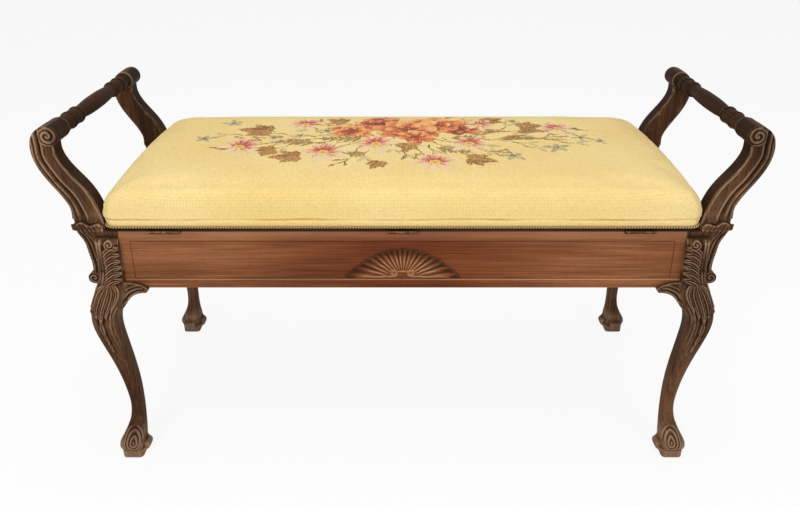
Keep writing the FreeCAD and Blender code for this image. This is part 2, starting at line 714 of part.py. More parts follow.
def compartment_bottom():
    half_x, half_y = FACE_X - RAIL_THICK - 1.0, FACE_Y - RAIL_THICK - 1.0
    panel = box(-half_x, half_x, -half_y, half_y, BOTTOM_Z, BOTTOM_Z + BOTTOM_THICK)
    notches = []
    for sx in (-1, 1):
        for sy in (-1, 1):
            notch = box(POST_IN_X - 1.0, FACE_X, POST_IN_Y - 1.0, FACE_Y, 0, RAIL_TOP)
            notches.append(to_corner(notch, sx, sy))
    return solid_of(panel.cut(notches))


def ledgers():
    """Strips glued to the rails under the compartment bottom."""
    low = BOTTOM_Z - LEDGER
    inner_y, inner_x = FACE_Y - RAIL_THICK, FACE_X - RAIL_THICK
    strip = box(-POST_IN_X + 10, POST_IN_X - 10, inner_y - LEDGER, inner_y, low, BOTTOM_Z)
    end_half = min(POST_IN_Y, inner_y - LEDGER) - 3.0
    end = box(inner_x - LEDGER, inner_x, -end_half, end_half, low, BOTTOM_Z)
    return [strip, to_corner(strip, 1, -1), end, to_corner(end, -1, 1)]


def block_bottom():
    return BOTTOM_Z + BOTTOM_THICK + 4.0


def corner_block():
    """Block across the inner corner, notched round the post."""
    x, y = FACE_X - RAIL_THICK, FACE_Y - RAIL_THICK
    z = block_bottom()
    body = prism([(x, y, z), (x - BLOCK_LEG, y, z), (x, y - BLOCK_LEG, z)], (0, 0, BLOCK_HEIGHT))
    notch = box(POST_IN_X, FACE_X, POST_IN_Y, FACE_Y, z - 1, z + BLOCK_HEIGHT + 1)
    return solid_of(body.cut([notch] + block_screws(JOINT_CLEAR)))


def knuckle_spans(x, own):
    """Stretches of the hinge barrel that belong to one leaf: even ones the rail leaf."""
    pitch = HINGE_LENGTH / KNUCKLES
    spans = []
    for index in range(KNUCKLES):
        if index % 2 == own:
            start = x - HINGE_LENGTH / 2 + index * pitch
            spans.append((start + KNUCKLE_GAP / 2, start + pitch - KNUCKLE_GAP / 2))
    return spans


def leaf_screws(x, face, up, clear):
    """Three countersunk screws through a leaf, up or down from its free face."""
    screws = []
    for share in (-0.34, 0.0, 0.34):
        at = Vector(x + share * HINGE_LENGTH, -FACE_Y + 0.55 * HINGE_LEAF, face)
        shank = rod(SCREW_R + clear, at, at + Vector(0, 0, up * (SCREW_LENGTH + clear)))
        sink = Part.makeCone(SCREW_HEAD_R + clear, SCREW_R + clear, HINGE_THICK, at, Vector(0, 0, up))
        screws.append(shank.fuse(sink))
    return screws


def hinge_leaf(x, own):
    """Leaf with its knuckles. own 0 is let into the rail, 1 into the lid."""
    z0, z1 = (RAIL_TOP - HINGE_THICK, RAIL_TOP) if own == 0 else (LID_Z, LID_Z + HINGE_THICK)
    near = -FACE_Y + 0.4
    pieces = [box(x - HINGE_LENGTH / 2, x + HINGE_LENGTH / 2, near, -FACE_Y + HINGE_LEAF, z0, z1)]
    for start, end in knuckle_spans(x, own):
        pieces.append(rod(KNUCKLE_R, Vector(start, HINGE_Y, HINGE_Z), Vector(end, HINGE_Y, HINGE_Z)))
        pieces.append(box(start, end, HINGE_Y, near + 0.5, z0, z1))
    bore = rod(PIN_R + PIN_CLEAR, Vector(x - HINGE_LENGTH, HINGE_Y, HINGE_Z),
               Vector(x + HINGE_LENGTH, HINGE_Y, HINGE_Z))
    face, up = (RAIL_TOP, -1) if own == 0 else (LID_Z, 1)
    return solid_of(join(pieces).cut([bore] + leaf_screws(x, face, up, JOINT_CLEAR)))


def hinge_pin(x):
    half = HINGE_LENGTH / 2
    return rod(PIN_R, Vector(x - half, HINGE_Y, HINGE_Z), Vector(x + half, HINGE_Y, HINGE_Z))


def lid_tacks(clear):
    """Tacks round the lining, driven up into the lid frame."""
    half_x, half_y = lining_half()
    inset = 2.2 * TACK_HEAD_R
    spots = []
    for index in range(LONG_TACKS):
        x = (half_x - 3 * inset) * (2 * index / (LONG_TACKS - 1) - 1)
        spots += [(x, half_y - inset), (x, inset - half_y)]
    for index in range(END_TACKS):
        y = (half_y - 4 * inset) * (2 * index / (END_TACKS - 1) - 1)
        spots += [(half_x - inset, y), (inset - half_x, y)]
    face = LID_Z - LINING_THICK
    tacks = []
    for x, y in spots:
        shank = rod(TACK_SHANK_R + clear, Vector(x, y, face), Vector(x, y, face + TACK_SHANK + clear))
        if clear:
            tacks.append(shank)
        else:
            head = rod(TACK_HEAD_R, Vector(x, y, face - TACK_HEAD), Vector(x, y, face))
            tacks.append(shank.fuse(head).removeSplitter())
    return tacks


def lining_half():
    return LID_HALF_LENGTH - LINING_MARGIN, FACE_Y - LINING_MARGIN


def round_lid_corners(member):
    """Outer upright edges of a long lid member, concentric with the corners of the cover."""
    corners = []
    for edge in member.Edges:
        upright = edge.BoundBox.ZLength > LID_THICK - 0.1
        middle = edge.CenterOfMass
        if upright and abs(abs(middle.x) - LID_HALF_LENGTH) < 0.01 and abs(middle.y - FACE_Y) < 0.01:
            corners.append(edge)
    return member.makeFillet(LID_CORNER_R, corners)


def lid_frame():
    """Front, back, left and right members and the crossbar, tenoned together."""
    out_x, out_y = LID_HALF_LENGTH, FACE_Y
    in_x, in_y = out_x - LID_MEMBER, out_y - LID_MEMBER
    third = LID_THICK / 3
    back = box(-out_x, out_x, in_y, out_y, LID_Z, LID_TOP)
    right = box(in_x, out_x, -in_y, in_y, LID_Z, LID_TOP)
    bar = box(-LID_MEMBER / 2, LID_MEMBER / 2, -in_y, in_y, LID_Z, LID_TOP)
    sockets = []
    members = []
    for body, x0, x1 in ((right, in_x + 8, out_x - 8), (bar, 8 - LID_MEMBER / 2, LID_MEMBER / 2 - 8)):
        tongue = box(x0, x1, in_y - 1, in_y + LID_TENON, LID_Z + third, LID_TOP - third)
        socket = box(x0 - JOINT_CLEAR, x1 + JOINT_CLEAR, in_y - 1, in_y + LID_TENON + JOINT_CLEAR,
                     LID_Z + third - JOINT_CLEAR, LID_TOP - third + JOINT_CLEAR)
        sockets.append(socket)
        members.append(join([body, tongue, to_corner(tongue, 1, -1)]))
    sockets.append(to_corner(sockets[0], -1, 1))
    back = back.cut(sockets)
    back = round_lid_corners(back)
    front = to_corner(back, 1, -1)
    cutters = [leaf_recess(x, LID_Z - 1, LID_Z + HINGE_THICK) for x in hinge_xs()]
    for x in hinge_xs():
        cutters += leaf_screws(x, LID_Z, 1, JOINT_CLEAR)
    front = front.cut(cutters)
    pieces = {
        "lid_front_member": front,
        "lid_back_member": back,
        "lid_left_member": to_corner(members[0], -1, 1),
        "lid_right_member": members[0],
        "lid_crossbar": members[1],
    }
    holes = lid_tacks(JOINT_CLEAR)
    return {name: solid_of(shape.cut(holes)) for name, shape in pieces.items()}


def webbing(along_x):
    half_x, half_y = LID_HALF_LENGTH - 10, FACE_Y - 8
    count, room = (LONG_WEBS, half_y) if along_x else (CROSS_WEBS, half_x)
    strips = []
    for index in range(count):
        at = (room - WEB_WIDTH / 2 - 6) * (2 * index / (count - 1) - 1)
        low, high = at - WEB_WIDTH / 2, at + WEB_WIDTH / 2
        if along_x:
            strips.append(box(-half_x, half_x, low, high, LID_TOP, LID_TOP + WEB_THICK))
        else:
            strips.append(box(low, high, -half_y, half_y, LID_TOP + WEB_THICK, CLOTH_Z))
    return strips


def base_cloth():
    return box(6 - LID_HALF_LENGTH, LID_HALF_LENGTH - 6, 6 - FACE_Y, FACE_Y - 6, CLOTH_Z, PAD_Z)


def lining():
    half_x, half_y = lining_half()
    sheet = box(-half_x, half_x, -half_y, half_y, LID_Z - LINING_THICK, LID_Z)
    return solid_of(sheet.cut(lid_tacks(JOINT_CLEAR)))


def rounded_slab(out, radius, z):
    return slab_outline(out, out, radius, z)


def slab_outline(out_x, out_y, radius, z):
    x, y = LID_HALF_LENGTH + out_x, FACE_Y + out_y
    return rounded_rectangle(-x, x, -y, y, radius, z)


def pad_form(inset):
    """Crowned seat with drawn-in sides, drawn at a depth under the cover face."""
    rise = PAD_RISE - 1.0 - inset
    low = LID_TOP + 1.0
    edge = SKIRT_OUT - inset
    gain = CROWN_CORNER_R - CORNER_R
    shape = [(0.0, 0.0, 0.0, 0.0), (0.10, 0.60, 0.0, 0.1), (0.26, 1.0, 0.0, 0.25),
             (0.48, 0.86, 0.0, 0.5), (0.68, 0.34, 0.0, 0.75), (0.82, 0.0, 3.5, 0.95),
             (0.91, 0.0, 13.0, 1.05), (0.955, 0.0, 30.0, 1.1), (0.987, 0.0, 74.0, 1.1),
             (1.0, 0.0, 125.0, 1.0)]
    wires = []
    for share, bulge, draw, turn in shape:
        wires.append(slab_outline(edge + bulge * END_BULGE - draw, edge + bulge * SIDE_BULGE - draw,
                                  CORNER_R + turn * gain, low + share * rise))
    return loft(wires)


def cover():
    """Needlework cover: skirt round the lid frame and skin over the stuffing."""
    low = LID_TOP + 1.0
    outer = Part.Face(rounded_slab(SKIRT_OUT, CORNER_R, SKIRT_Z)).extrude(Vector(0, 0, low - SKIRT_Z))
    whole = join([outer, pad_form(0.0)])
    room = rounded_slab(COVER_CLEAR, LID_CORNER_R + COVER_CLEAR, SKIRT_Z - 1)
    inner = Part.Face(room).extrude(Vector(0, 0, low - SKIRT_Z + 1))
    return solid_of(whole.cut([inner, pad_form(COVER_THICK)]))


def stuffing():
    body = pad_form(COVER_THICK + COVER_CLEAR)
    floor = box(-2 * LID_HALF_LENGTH, 2 * LID_HALF_LENGTH, -2 * FACE_Y, 2 * FACE_Y, 0, PAD_Z)
    return solid_of(body.cut(floor))


def gimp():
    inner = SKIRT_OUT + COVER_CLEAR / 2
    outer = Part.Face(rounded_slab(inner + GIMP_THICK, CORNER_R + GIMP_THICK, SKIRT_Z))
    hole = Part.Face(rounded_slab(inner, CORNER_R, SKIRT_Z))
    return solid_of(outer.cut(hole).extrude(Vector(0, 0, GIMP_HEIGHT)))


def save(name, shape):
    shape.exportStep(os.path.join("parts", name + ".step"))


def save_group(name, shapes):
    save(name, Part.makeCompound(shapes))


CORNERS = {"front_left": (-1, -1), "front_right": (1, -1), "back_left": (-1, 1), "back_right": (1, 1)}


def save_corners():
    blank = leg_blank()
    legs, ears, arms = leg(blank), ear(blank), arm()
    bracket = knee_bracket(blank)
    end_bracket = across_post(bracket)
    block = corner_block()
    blocks, screws, dowels = [], [], []
    for place, (sx, sy) in CORNERS.items():
        save("leg_" + place, to_corner(legs, sx, sy))
        save("ear_" + place, to_corner(ears, sx, sy))
        save("arm_" + place, to_corner(arms, sx, sy))
        save("knee_bracket_long_" + place, to_corner(bracket, sx, sy))
        save("knee_bracket_end_" + place, to_corner(end_bracket, sx, sy))
        blocks.append(to_corner(block, sx, sy))
        screws += [to_corner(s, sx, sy) for s in block_screws(0)]
        dowels += [to_corner(d, sx, sy) for d in arm_dowels(0)]
    save_group("corner_blocks", blocks)
    save_group("corner_block_screws", screws)
    save_group("arm_dowels", dowels)


def save_frame():
    save("rail_front", long_rail(True))
    save("rail_back", long_rail(False))
    end = end_rail()
    save("rail_right", end)
    save("rail_left", to_corner(end, -1, 1))
    fan = shell()
    save("shell_back", fan)
    save("shell_front", to_corner(fan, 1, -1))
    handle = grip()
    save("grip_right", handle)
    save("grip_left", to_corner(handle, -1, 1))
    save("compartment_bottom", compartment_bottom())
    save_group("ledger_strips", ledgers())


def save_hinges():
    rail_screws, lid_screws = [], []
    for place, x in zip(("left", "centre", "right"), hinge_xs()):
        save("hinge_leaf_rail_" + place, hinge_leaf(x, 0))
        save("hinge_leaf_lid_" + place, hinge_leaf(x, 1))
        save("hinge_pin_" + place, hinge_pin(x))
        rail_screws += leaf_screws(x, RAIL_TOP, -1, 0)
        lid_screws += leaf_screws(x, LID_Z, 1, 0)
    save_group("hinge_screws_rail", rail_screws)
    save_group("hinge_screws_lid", lid_screws)


def save_lid():
    for name, shape in lid_frame().items():
        save(name, shape)
    save_group("webbing_long", webbing(True))
    save_group("webbing_cross", webbing(False))
    save("base_cloth", base_cloth())
    save("seat_stuffing", stuffing())
    save("seat_cover", cover())
    save("gimp_braid", gimp())
    save("lid_lining", lining())
    save_group("lining_tacks", lid_tacks(0))


os.makedirs("parts", exist_ok=True)
save_corners()
save_frame()
save_hinges()
save_lid()
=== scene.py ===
import math

import bmesh
import bpy
import numpy as np
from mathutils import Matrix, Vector


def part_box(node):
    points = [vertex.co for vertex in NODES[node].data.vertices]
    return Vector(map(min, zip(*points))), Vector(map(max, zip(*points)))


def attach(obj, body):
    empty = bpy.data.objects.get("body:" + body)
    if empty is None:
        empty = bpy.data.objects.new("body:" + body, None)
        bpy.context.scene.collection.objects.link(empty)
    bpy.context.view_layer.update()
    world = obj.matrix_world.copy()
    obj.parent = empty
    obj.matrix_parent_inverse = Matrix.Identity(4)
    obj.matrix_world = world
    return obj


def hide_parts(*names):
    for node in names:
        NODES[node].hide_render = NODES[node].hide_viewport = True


# Looks of a long upholstered bench with a hinged lid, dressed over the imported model.
# The scene is in metres. Carving and needlework are worked out in millimetres.

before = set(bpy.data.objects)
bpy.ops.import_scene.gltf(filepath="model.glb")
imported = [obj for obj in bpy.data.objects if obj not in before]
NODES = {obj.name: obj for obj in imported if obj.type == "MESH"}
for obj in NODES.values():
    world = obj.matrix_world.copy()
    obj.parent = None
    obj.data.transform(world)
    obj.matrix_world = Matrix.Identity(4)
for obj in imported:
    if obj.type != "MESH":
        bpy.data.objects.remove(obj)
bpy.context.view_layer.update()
MM = 0.001


def node_box(node):
    """Lowest and highest corner of a node, in millimetres."""
    low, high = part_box(node)
    return np.array(low) / MM, np.array(high) / MM


# Places read from the frame
FACE_Y = node_box("rail_back")[1][1]
FACE_X = node_box("rail_right")[1][0]
RAIL_BOTTOM = node_box("rail_back")[0][2]
RAIL_TOP = node_box("rail_back")[1][2]
ARM_BACK = node_box("ear_back_right")[0][1]
ARM_FACE = node_box("ear_back_right")[1][1]
SCROLL_X = sum(node_box("grip_right"))[0] / 2
SCROLL_Z = sum(node_box("grip_right"))[2] / 2
LID_X = node_box("lid_back_member")[1][0]
LID_Y = node_box("lid_back_member")[1][1]
SHELL_LOW, SHELL_HIGH = node_box("shell_back")
# Rail top to the hundredth, from which the tables for legs and seat give their heights
RAIL_LEVEL = round(RAIL_TOP, 2)

# Corner posts, arms, the rails' panels and brackets
POST = 38.0
POST_PROUD = 10.0
POST_X = FACE_X + POST_PROUD - POST / 2
POST_Y = FACE_Y + POST_PROUD - POST / 2
POST_IN_X = POST_X - POST / 2
LEAF_DROP = 10.0
LEAF_TOP = RAIL_TOP - LEAF_DROP
ARM_BASE_OUT = 27.0
ARM_X = POST_X + ARM_BASE_OUT
ARM_MIDDLE = (ARM_FACE + ARM_BACK) / 2
CUFF_HEIGHT = 17.0
CUFF_TOP = RAIL_TOP + CUFF_HEIGHT
SCROLL_R = 16.5
SCROLL_PROUD = 2.0
SCROLL_OUT = ARM_FACE + SCROLL_PROUD
PANEL_LIP = RAIL_BOTTOM + 15.2
BRACKET_REACH = 36.0
BRACKET_DROP = 36.0
CORNERS = {"front_left": (-1, -1), "front_right": (1, -1), "back_left": (-1, 1), "back_right": (1, 1)}


# Mesh tools

# Points that are compared with a path at a time
BLOCK = 20000


def smooth_step(low, high, value):
    t = np.clip((value - low) / (high - low), 0, 1)
    return t * t * (3 - 2 * t)


def ridge(distance, width):
    """Rounded ridge: 1 on the line, fading to 0 beyond its width."""
    return np.exp(-(distance / width) ** 2)


def reeds(distance, pitch):
    """Row of round reeds: 1 on their crests and 0 in the grooves between."""
    return np.sqrt(np.abs(np.sin(np.pi * distance / pitch)))


def wobble(along, period, seed):
    """Slow uneven wave along a length, between about -1 and 1."""
    draw = np.random.default_rng(seed)
    total = np.zeros_like(along)
    for share in (1.0, 0.61, 0.37, 0.23):
        total += share * np.sin(2 * np.pi * along / (period * share) + draw.uniform(0, 2 * np.pi))
    return total / 2.2


def smooth_path(points, per_span=24):
    """Points of a Catmull-Rom curve through the given points."""
    p = np.array(points, float)
    p = np.vstack([2 * p[0] - p[1], p, 2 * p[-1] - p[-2]])
    t = np.linspace(0, 1, per_span, endpoint=False)[:, None]
    spans = []
    for a, b, c, d in zip(p, p[1:], p[2:], p[3:]):
        spans.append(0.5 * (2 * b + (c - a) * t + (2 * a - 5 * b + 4 * c - d) * t ** 2
                            + (3 * b - a - 3 * c + d) * t ** 3))
    return np.vstack(spans + [p[-2][None]])


def run_lengths(path):
    """Length along a flat path at each of its points."""
    return np.concatenate([[0], np.cumsum(np.hypot(*np.diff(path, axis=0).T))])


def beside(path, x, z):
    """Length along a path and distance to its left for each point x, z."""
    along = run_lengths(path)
    aim = np.gradient(path, axis=0)
    aim /= np.hypot(*aim.T)[:, None]
    length, left = np.empty(len(x)), np.empty(len(x))
    for start in range(0, len(x), BLOCK):
        part = slice(start, start + BLOCK)
        dx = x[part, None] - path[None, :, 0]
        dz = z[part, None] - path[None, :, 1]
        near = np.argmin(dx * dx + dz * dz, axis=1)
        rows = np.arange(len(near))
        ahead = dx[rows, near] * aim[near, 0] + dz[rows, near] * aim[near, 1]
        length[part] = along[near] + ahead
        left[part] = dz[rows, near] * aim[near, 0] - dx[rows, near] * aim[near, 1]
    return length, left


def edge_at(where, value, step=2.0):
    """The largest value found near each place."""
    bins = np.floor((where - where.min()) / step).astype(int)
    top = np.full(bins.max() + 1, -np.inf)
    np.maximum.at(top, bins, value)
    middle = where.min() + (np.arange(len(top)) + 0.5) * step
    known = np.isfinite(top)
    return np.interp(where, middle[known], top[known])


def fetch(rows, key, width, kind=np.float32):
    """One property of all rows of mesh data, so many numbers to a row."""
    values = np.empty(len(rows) * width, kind)
    rows.foreach_get(key, values)
    return values.reshape(-1, width)


def read_points(mesh):
    return fetch(mesh.vertices, "co", 3).astype(float) / MM


def write_points(mesh, points):
    mesh.vertices.foreach_set("co", (points * MM).astype(np.float32).ravel())
    mesh.update()


def read_normals(mesh):
    return fetch(mesh.vertices, "normal", 3).astype(float)


def read_edges(mesh):
    return fetch(mesh.edges, "vertices", 2, np.int32)


def relax(points, edges, steps):
    """Move points towards the mean of their neighbours, once for each step size."""
    count = np.bincount(edges.ravel(), minlength=len(points))
    for step in steps:
        mean = np.empty_like(points)
        for axis in range(3):
            value = points[:, axis]
            total = np.bincount(edges[:, 0], value[edges[:, 1]], len(points))
            total += np.bincount(edges[:, 1], value[edges[:, 0]], len(points))
            mean[:, axis] = total / count
        points = points + step * (mean - points)
    return points


def mesh_of(name, points, faces):
    mesh = bpy.data.meshes.new(name)
    mesh.from_pydata((np.asarray(points) * MM).tolist(), [], [tuple(f) for f in faces])
    mesh.update()
    return mesh


def grid_faces(rows, columns, round_rows=False, round_columns=False):
    """Quads between points stored row by row, closed round on request."""
    faces = []
    for r in range(rows if round_rows else rows - 1):
        for c in range(columns if round_columns else columns - 1):
            r2, c2 = (r + 1) % rows, (c + 1) % columns
            faces.append((r * columns + c, r * columns + c2, r2 * columns + c2, r2 * columns + c))
    return faces


def placed(name, data):
    """A new object, linked into the scene."""
    obj = bpy.data.objects.new(name, data)
    bpy.context.scene.collection.objects.link(obj)
    return obj


def piece(name, mesh, body, slot, material, *stands_for):
    """A new piece of the object, riding on a body in place of some nodes."""
    obj = placed(name, mesh)
    mesh.materials.clear()
    mesh.materials.append(material)
    mesh.shade_smooth()
    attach(obj, body)
    if stands_for:
        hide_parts(*stands_for)
    return obj


def settled(obj):
    """The object's mesh with its modifiers applied."""
    depsgraph = bpy.context.evaluated_depsgraph_get()
    return bpy.data.meshes.new_from_object(obj.evaluated_get(depsgraph))


def shaped(mesh, kind, **settings):
    """A mesh put through one modifier, on an object that is then removed."""
    obj = placed("shaping", mesh)
    modifier = obj.modifiers.new("shape", kind)
    for key, value in settings.items():
        setattr(modifier, key, value)
    result = settled(obj)
    bpy.data.objects.remove(obj)
    bpy.data.meshes.remove(mesh)
    return result


def tube(path, radii, sides, closed=False):
    """Points and faces of a round tube along a path, with flat ends if it is open."""
    path = np.asarray(path, float)
    radii = np.broadcast_to(radii, len(path))
    if closed:
        aim = np.roll(path, -1, 0) - np.roll(path, 1, 0)
    else:
        aim = np.gradient(path, axis=0)
    aim /= np.linalg.norm(aim, axis=1)[:, None]
    guide = np.array([0.0, 0.0, 1.0]) if np.abs(aim[:, 2]).mean() < 0.7 else np.array([0.0, 1.0, 0.0])
    first = np.cross(aim, guide)
    first /= np.maximum(np.linalg.norm(first, axis=1), 1e-6)[:, None]
    second = np.cross(aim, first)
    turn = 2 * np.pi * np.arange(sides) / sides
    ring = np.cos(turn)[None, :, None] * first[:, None] + np.sin(turn)[None, :, None] * second[:, None]
    points = (path[:, None] + radii[:, None, None] * ring).reshape(-1, 3)
    faces = grid_faces(len(path), sides, closed, True)
    if not closed:
        last = (len(path) - 1) * sides
        faces.append(tuple(range(sides)))
        faces.append(tuple(range(last + sides - 1, last - 1, -1)))
    return points, [f[::-1] for f in faces]


def merged(parts):
    """Several point and face lists as one."""
    points, faces, start = [], [], 0
    for part_points, part_faces in parts:
        points.append(part_points)
        faces += [tuple(i + start for i in f) for f in part_faces]
        start += len(part_points)
    return np.vstack(points), faces


# Material tools

def linear_values(screen):
    """Screen values from 0 to 1 as linear ones."""
    return np.where(screen <= 0.04045, screen / 12.92, ((screen + 0.055) / 1.055) ** 2.4)


def linear(colour):
    """A screen colour, 0 to 255, as linear values with full alpha."""
    return (*linear_values(np.array(colour, float) / 255), 1.0)


def add(tree, kind, inputs=None, **settings):
    """A shader node with its settings and its inputs, as values or linked sockets."""
    made = tree.nodes.new("ShaderNode" + kind)
    for key, value in settings.items():
        setattr(made, key, value)
    for key, value in (inputs or {}).items():
        if isinstance(value, bpy.types.NodeSocket):
            tree.links.new(value, made.inputs[key])
        else:
            made.inputs[key].default_value = value
    return made


def math_node(tree, operation, first, second=0.0):
    made = add(tree, "Math", {0: first, 1: second}, operation=operation)
    return made.outputs[0]


def mix(tree, share, first, second, blend="MIX"):
    made = add(tree, "MixRGB", {"Fac": share, "Color1": first, "Color2": second}, blend_type=blend)
    return made.outputs[0]


def ramp(tree, share, stops):
    """Colours by share: pairs of place and screen colour."""
    made = add(tree, "ValToRGB", {"Fac": share})
    stretch = made.color_ramp.elements
    while len(stretch) < len(stops):
        stretch.new(0.5)
    for element, (place, colour) in zip(stretch, stops):
        element.position = place
        element.color = linear(colour)
    return made.outputs[0]


def span(tree, value, low, high, to_low, to_high):
    made = add(tree, "MapRange", {0: value, 1: low, 2: high, 3: to_low, 4: to_high})
    return made.outputs[0]


def noise(tree, place, per_metre, detail, rough=0.55):
    """Noise whose patches number so many per metre along X, Y and Z."""
    scaled = add(tree, "Mapping", {"Vector": place, "Scale": per_metre}).outputs[0]
    made = add(tree, "TexNoise", {"Vector": scaled, "Scale": 1.0, "Detail": detail, "Roughness": rough})
    return made.outputs["Fac"]


def surface(name, **fixed):
    """A material with its Principled shader and its object coordinates."""
    material = bpy.data.materials.new(name)
    material.use_nodes = True
    tree = material.node_tree
    shader = tree.nodes["Principled BSDF"]
    for key, value in fixed.items():
        shader.inputs[key.replace("_", " ")].default_value = value
    place = add(tree, "TexCoord").outputs["Object"]
    return material, tree, shader, place


def feed(tree, shader, **sockets):
    """Link values to sockets of a shader."""
    for key, value in sockets.items():
        tree.links.new(value, shader.inputs[key.replace("_", " ")])


def bump(tree, height, strength, depth):
    made = add(tree, "Bump", {"Height": height, "Strength": strength, "Distance": depth})
    return made.outputs[0]


def stretched(along, fine, long):
    """Patches per metre: long ones along one axis and fine ones across it."""
    return tuple(long if axis == along else fine for axis in "XYZ")


# Patches of figure in the wood per metre, across its grain and along it
DRIFT = (16.0, 2.6)
GRAIN = (460.0, 9.0)
PORES = (1500.0, 55.0)
# The same for tarnish, slubs in woven cloth, hairs of wool, other fine fibres and the floor's clouds
TARNISH = (160.0,) * 3
SLUBS = (60.0, 700.0, 60.0)
HAIRS = (1300.0,) * 3
FIBRES = (900.0,) * 3
CLOUDS = (3.0,) * 3
# Gloss of the polished rails and of the carved pieces
RAIL_GLOSS = 0.1
CARVED_GLOSS = 0.03
# Distances from the middle of a rail, in metres, over which its own tone fades
MIDDLE_FADE = (0.05, 0.3)


def wood(name, along, tones, hollow, worn_and_highlit, rough, middle=None, lip=None):
    """Polished wood: grain along an axis, hollows darkened with painted shade and patina, and ridges
    lightened with wear and painted highlights.
    """
    material, tree, shader, place = surface(name, Specular_IOR_Level=RAIL_GLOSS if lip else CARVED_GLOSS)
    drift = noise(tree, place, stretched(along, *DRIFT), 2.0)
    lines = noise(tree, place, stretched(along, *GRAIN), 4.0, 0.62)
    pores = noise(tree, place, stretched(along, *PORES), 2.0)
    share = math_node(tree, "ADD", math_node(tree, "MULTIPLY", lines, 0.5),
                      math_node(tree, "MULTIPLY", drift, 0.5))
    colour = ramp(tree, share, [(0.38, tones[0]), (0.5, tones[1]), (0.62, tones[2])])
    x, _, z = add(tree, "SeparateXYZ", {0: place}).outputs[:]
    if middle is not None:
        nearness = span(tree, math_node(tree, "ABSOLUTE", x), *MIDDLE_FADE, 0.9, 0.0)
        colour = mix(tree, nearness, colour, mix(tree, 1.0, colour, linear(middle), "MULTIPLY"))
    specks = span(tree, pores, 0.57, 0.68, 0.0, 0.45)
    colour = mix(tree, specks, colour, linear(hollow))
    height = add(tree, "Attribute", attribute_name="ridge").outputs["Fac"]
    # Painted shade and patina in the hollows, where the stored height is low
    colour = mix(tree, span(tree, height, -0.1, -0.8, 0.0, 0.85), colour, linear(hollow))
    # Ridges lightened with wear and painted highlights, where the stored height is high
    rubbed_and_highlit = math_node(tree, "MULTIPLY", span(tree, height, 0.25, 1.0, 0.0, 0.62),
                       span(tree, drift, 0.3, 0.7, 0.4, 1.0))
    if lip is not None:
        from_lip = math_node(tree, "ABSOLUTE", math_node(tree, "SUBTRACT", z, lip * MM))
        # Painted highlight along the lower lip of the panel groove
        edge = math_node(tree, "MULTIPLY", span(tree, from_lip, 0.0006, 0.0012, 0.6, 0.0),
                         span(tree, drift, 0.35, 0.65, 0.5, 1.0))
        rubbed_and_highlit = math_node(tree, "MAXIMUM", rubbed_and_highlit, edge)
        # Paler towards the rail top
        upper = span(tree, z, (RAIL_TOP - 20.0) * MM, (RAIL_TOP - 6.0) * MM, 0.0, 0.16)
        rubbed_and_highlit = math_node(tree, "MAXIMUM", rubbed_and_highlit, upper)
    feed(tree, shader, Base_Color=mix(tree, rubbed_and_highlit, colour, linear(worn_and_highlit)),
         Roughness=span(tree, lines, 0.3, 0.7, rough - 0.06, rough + 0.1),
         Normal=bump(tree, math_node(tree, "SUBTRACT", lines, specks), 0.2, 0.0003))
    return material


def metal(name, tones, rough):
    """Aged metal with tarnish in patches."""
    material, tree, shader, place = surface(name, Metallic=1.0)
    patches = noise(tree, place, TARNISH, 4.0)
    fine = noise(tree, place, FIBRES, 2.0)
    feed(tree, shader, Base_Color=ramp(tree, patches, [(0.35, tones[0]), (0.65, tones[1])]),
         Roughness=span(tree, patches, 0.3, 0.7, rough + 0.12, rough - 0.08),
         Normal=bump(tree, fine, 0.15, 0.0002))
    return material


def weave(name, tones, threads):
    """Plain woven cloth: crossing threads, so many to the metre."""
    material, tree, shader, place = surface(name, Roughness=0.9, Sheen_Weight=0.15)
    x, y, _ = add(tree, "SeparateXYZ", {0: place}).outputs[:]
    turn = 2 * math.pi * threads
    warp = math_node(tree, "SINE", math_node(tree, "MULTIPLY", x, turn))
    weft = math_node(tree, "SINE", math_node(tree, "MULTIPLY", y, turn))
    height = math_node(tree, "MULTIPLY", warp, weft)
    slub = noise(tree, place, SLUBS, 2.0)
    share = math_node(tree, "ADD", math_node(tree, "MULTIPLY", height, 0.22), slub)
    feed(tree, shader, Base_Color=ramp(tree, share, [(0.3, tones[0]), (0.75, tones[1])]),
         Normal=bump(tree, height, 0.5, 0.0005))
    return material


# Wood finishes: grain tones from dark to pale; the dark tone of pores and, as painted shade and patina, of
# hollows; the pale tone of worn ridges and painted highlights; roughness; for the rails a tone for their
# middle and the height of the panel lip
CARVED = wood("carved_wood", "Z", ((50, 32, 20), (77, 51, 33), (108, 75, 51)),
              (23, 14, 8), (184, 152, 124), 0.48)
TURNED = wood("turned_wood", "Y", ((36, 22, 13), (54, 35, 21), (76, 50, 31)),
              (20, 12, 7), (112, 80, 52), 0.5)
RAIL_LONG = wood("rail_wood_long", "X", ((98, 56, 31), (124, 75, 44), (148, 96, 61)),
                 (64, 36, 20), (208, 158, 120), 0.34, (214, 170, 140), PANEL_LIP)
RAIL_END = wood("rail_wood_end", "Y", ((90, 52, 30), (114, 70, 42), (136, 88, 56)),
                (60, 34, 20), (184, 138, 104), 0.36, None, PANEL_LIP)
SHELL_WOOD = wood("shell_wood", "X", ((88, 48, 27), (112, 66, 40), (136, 84, 55)),
                  (34, 21, 12), (214, 156, 114), 0.3)
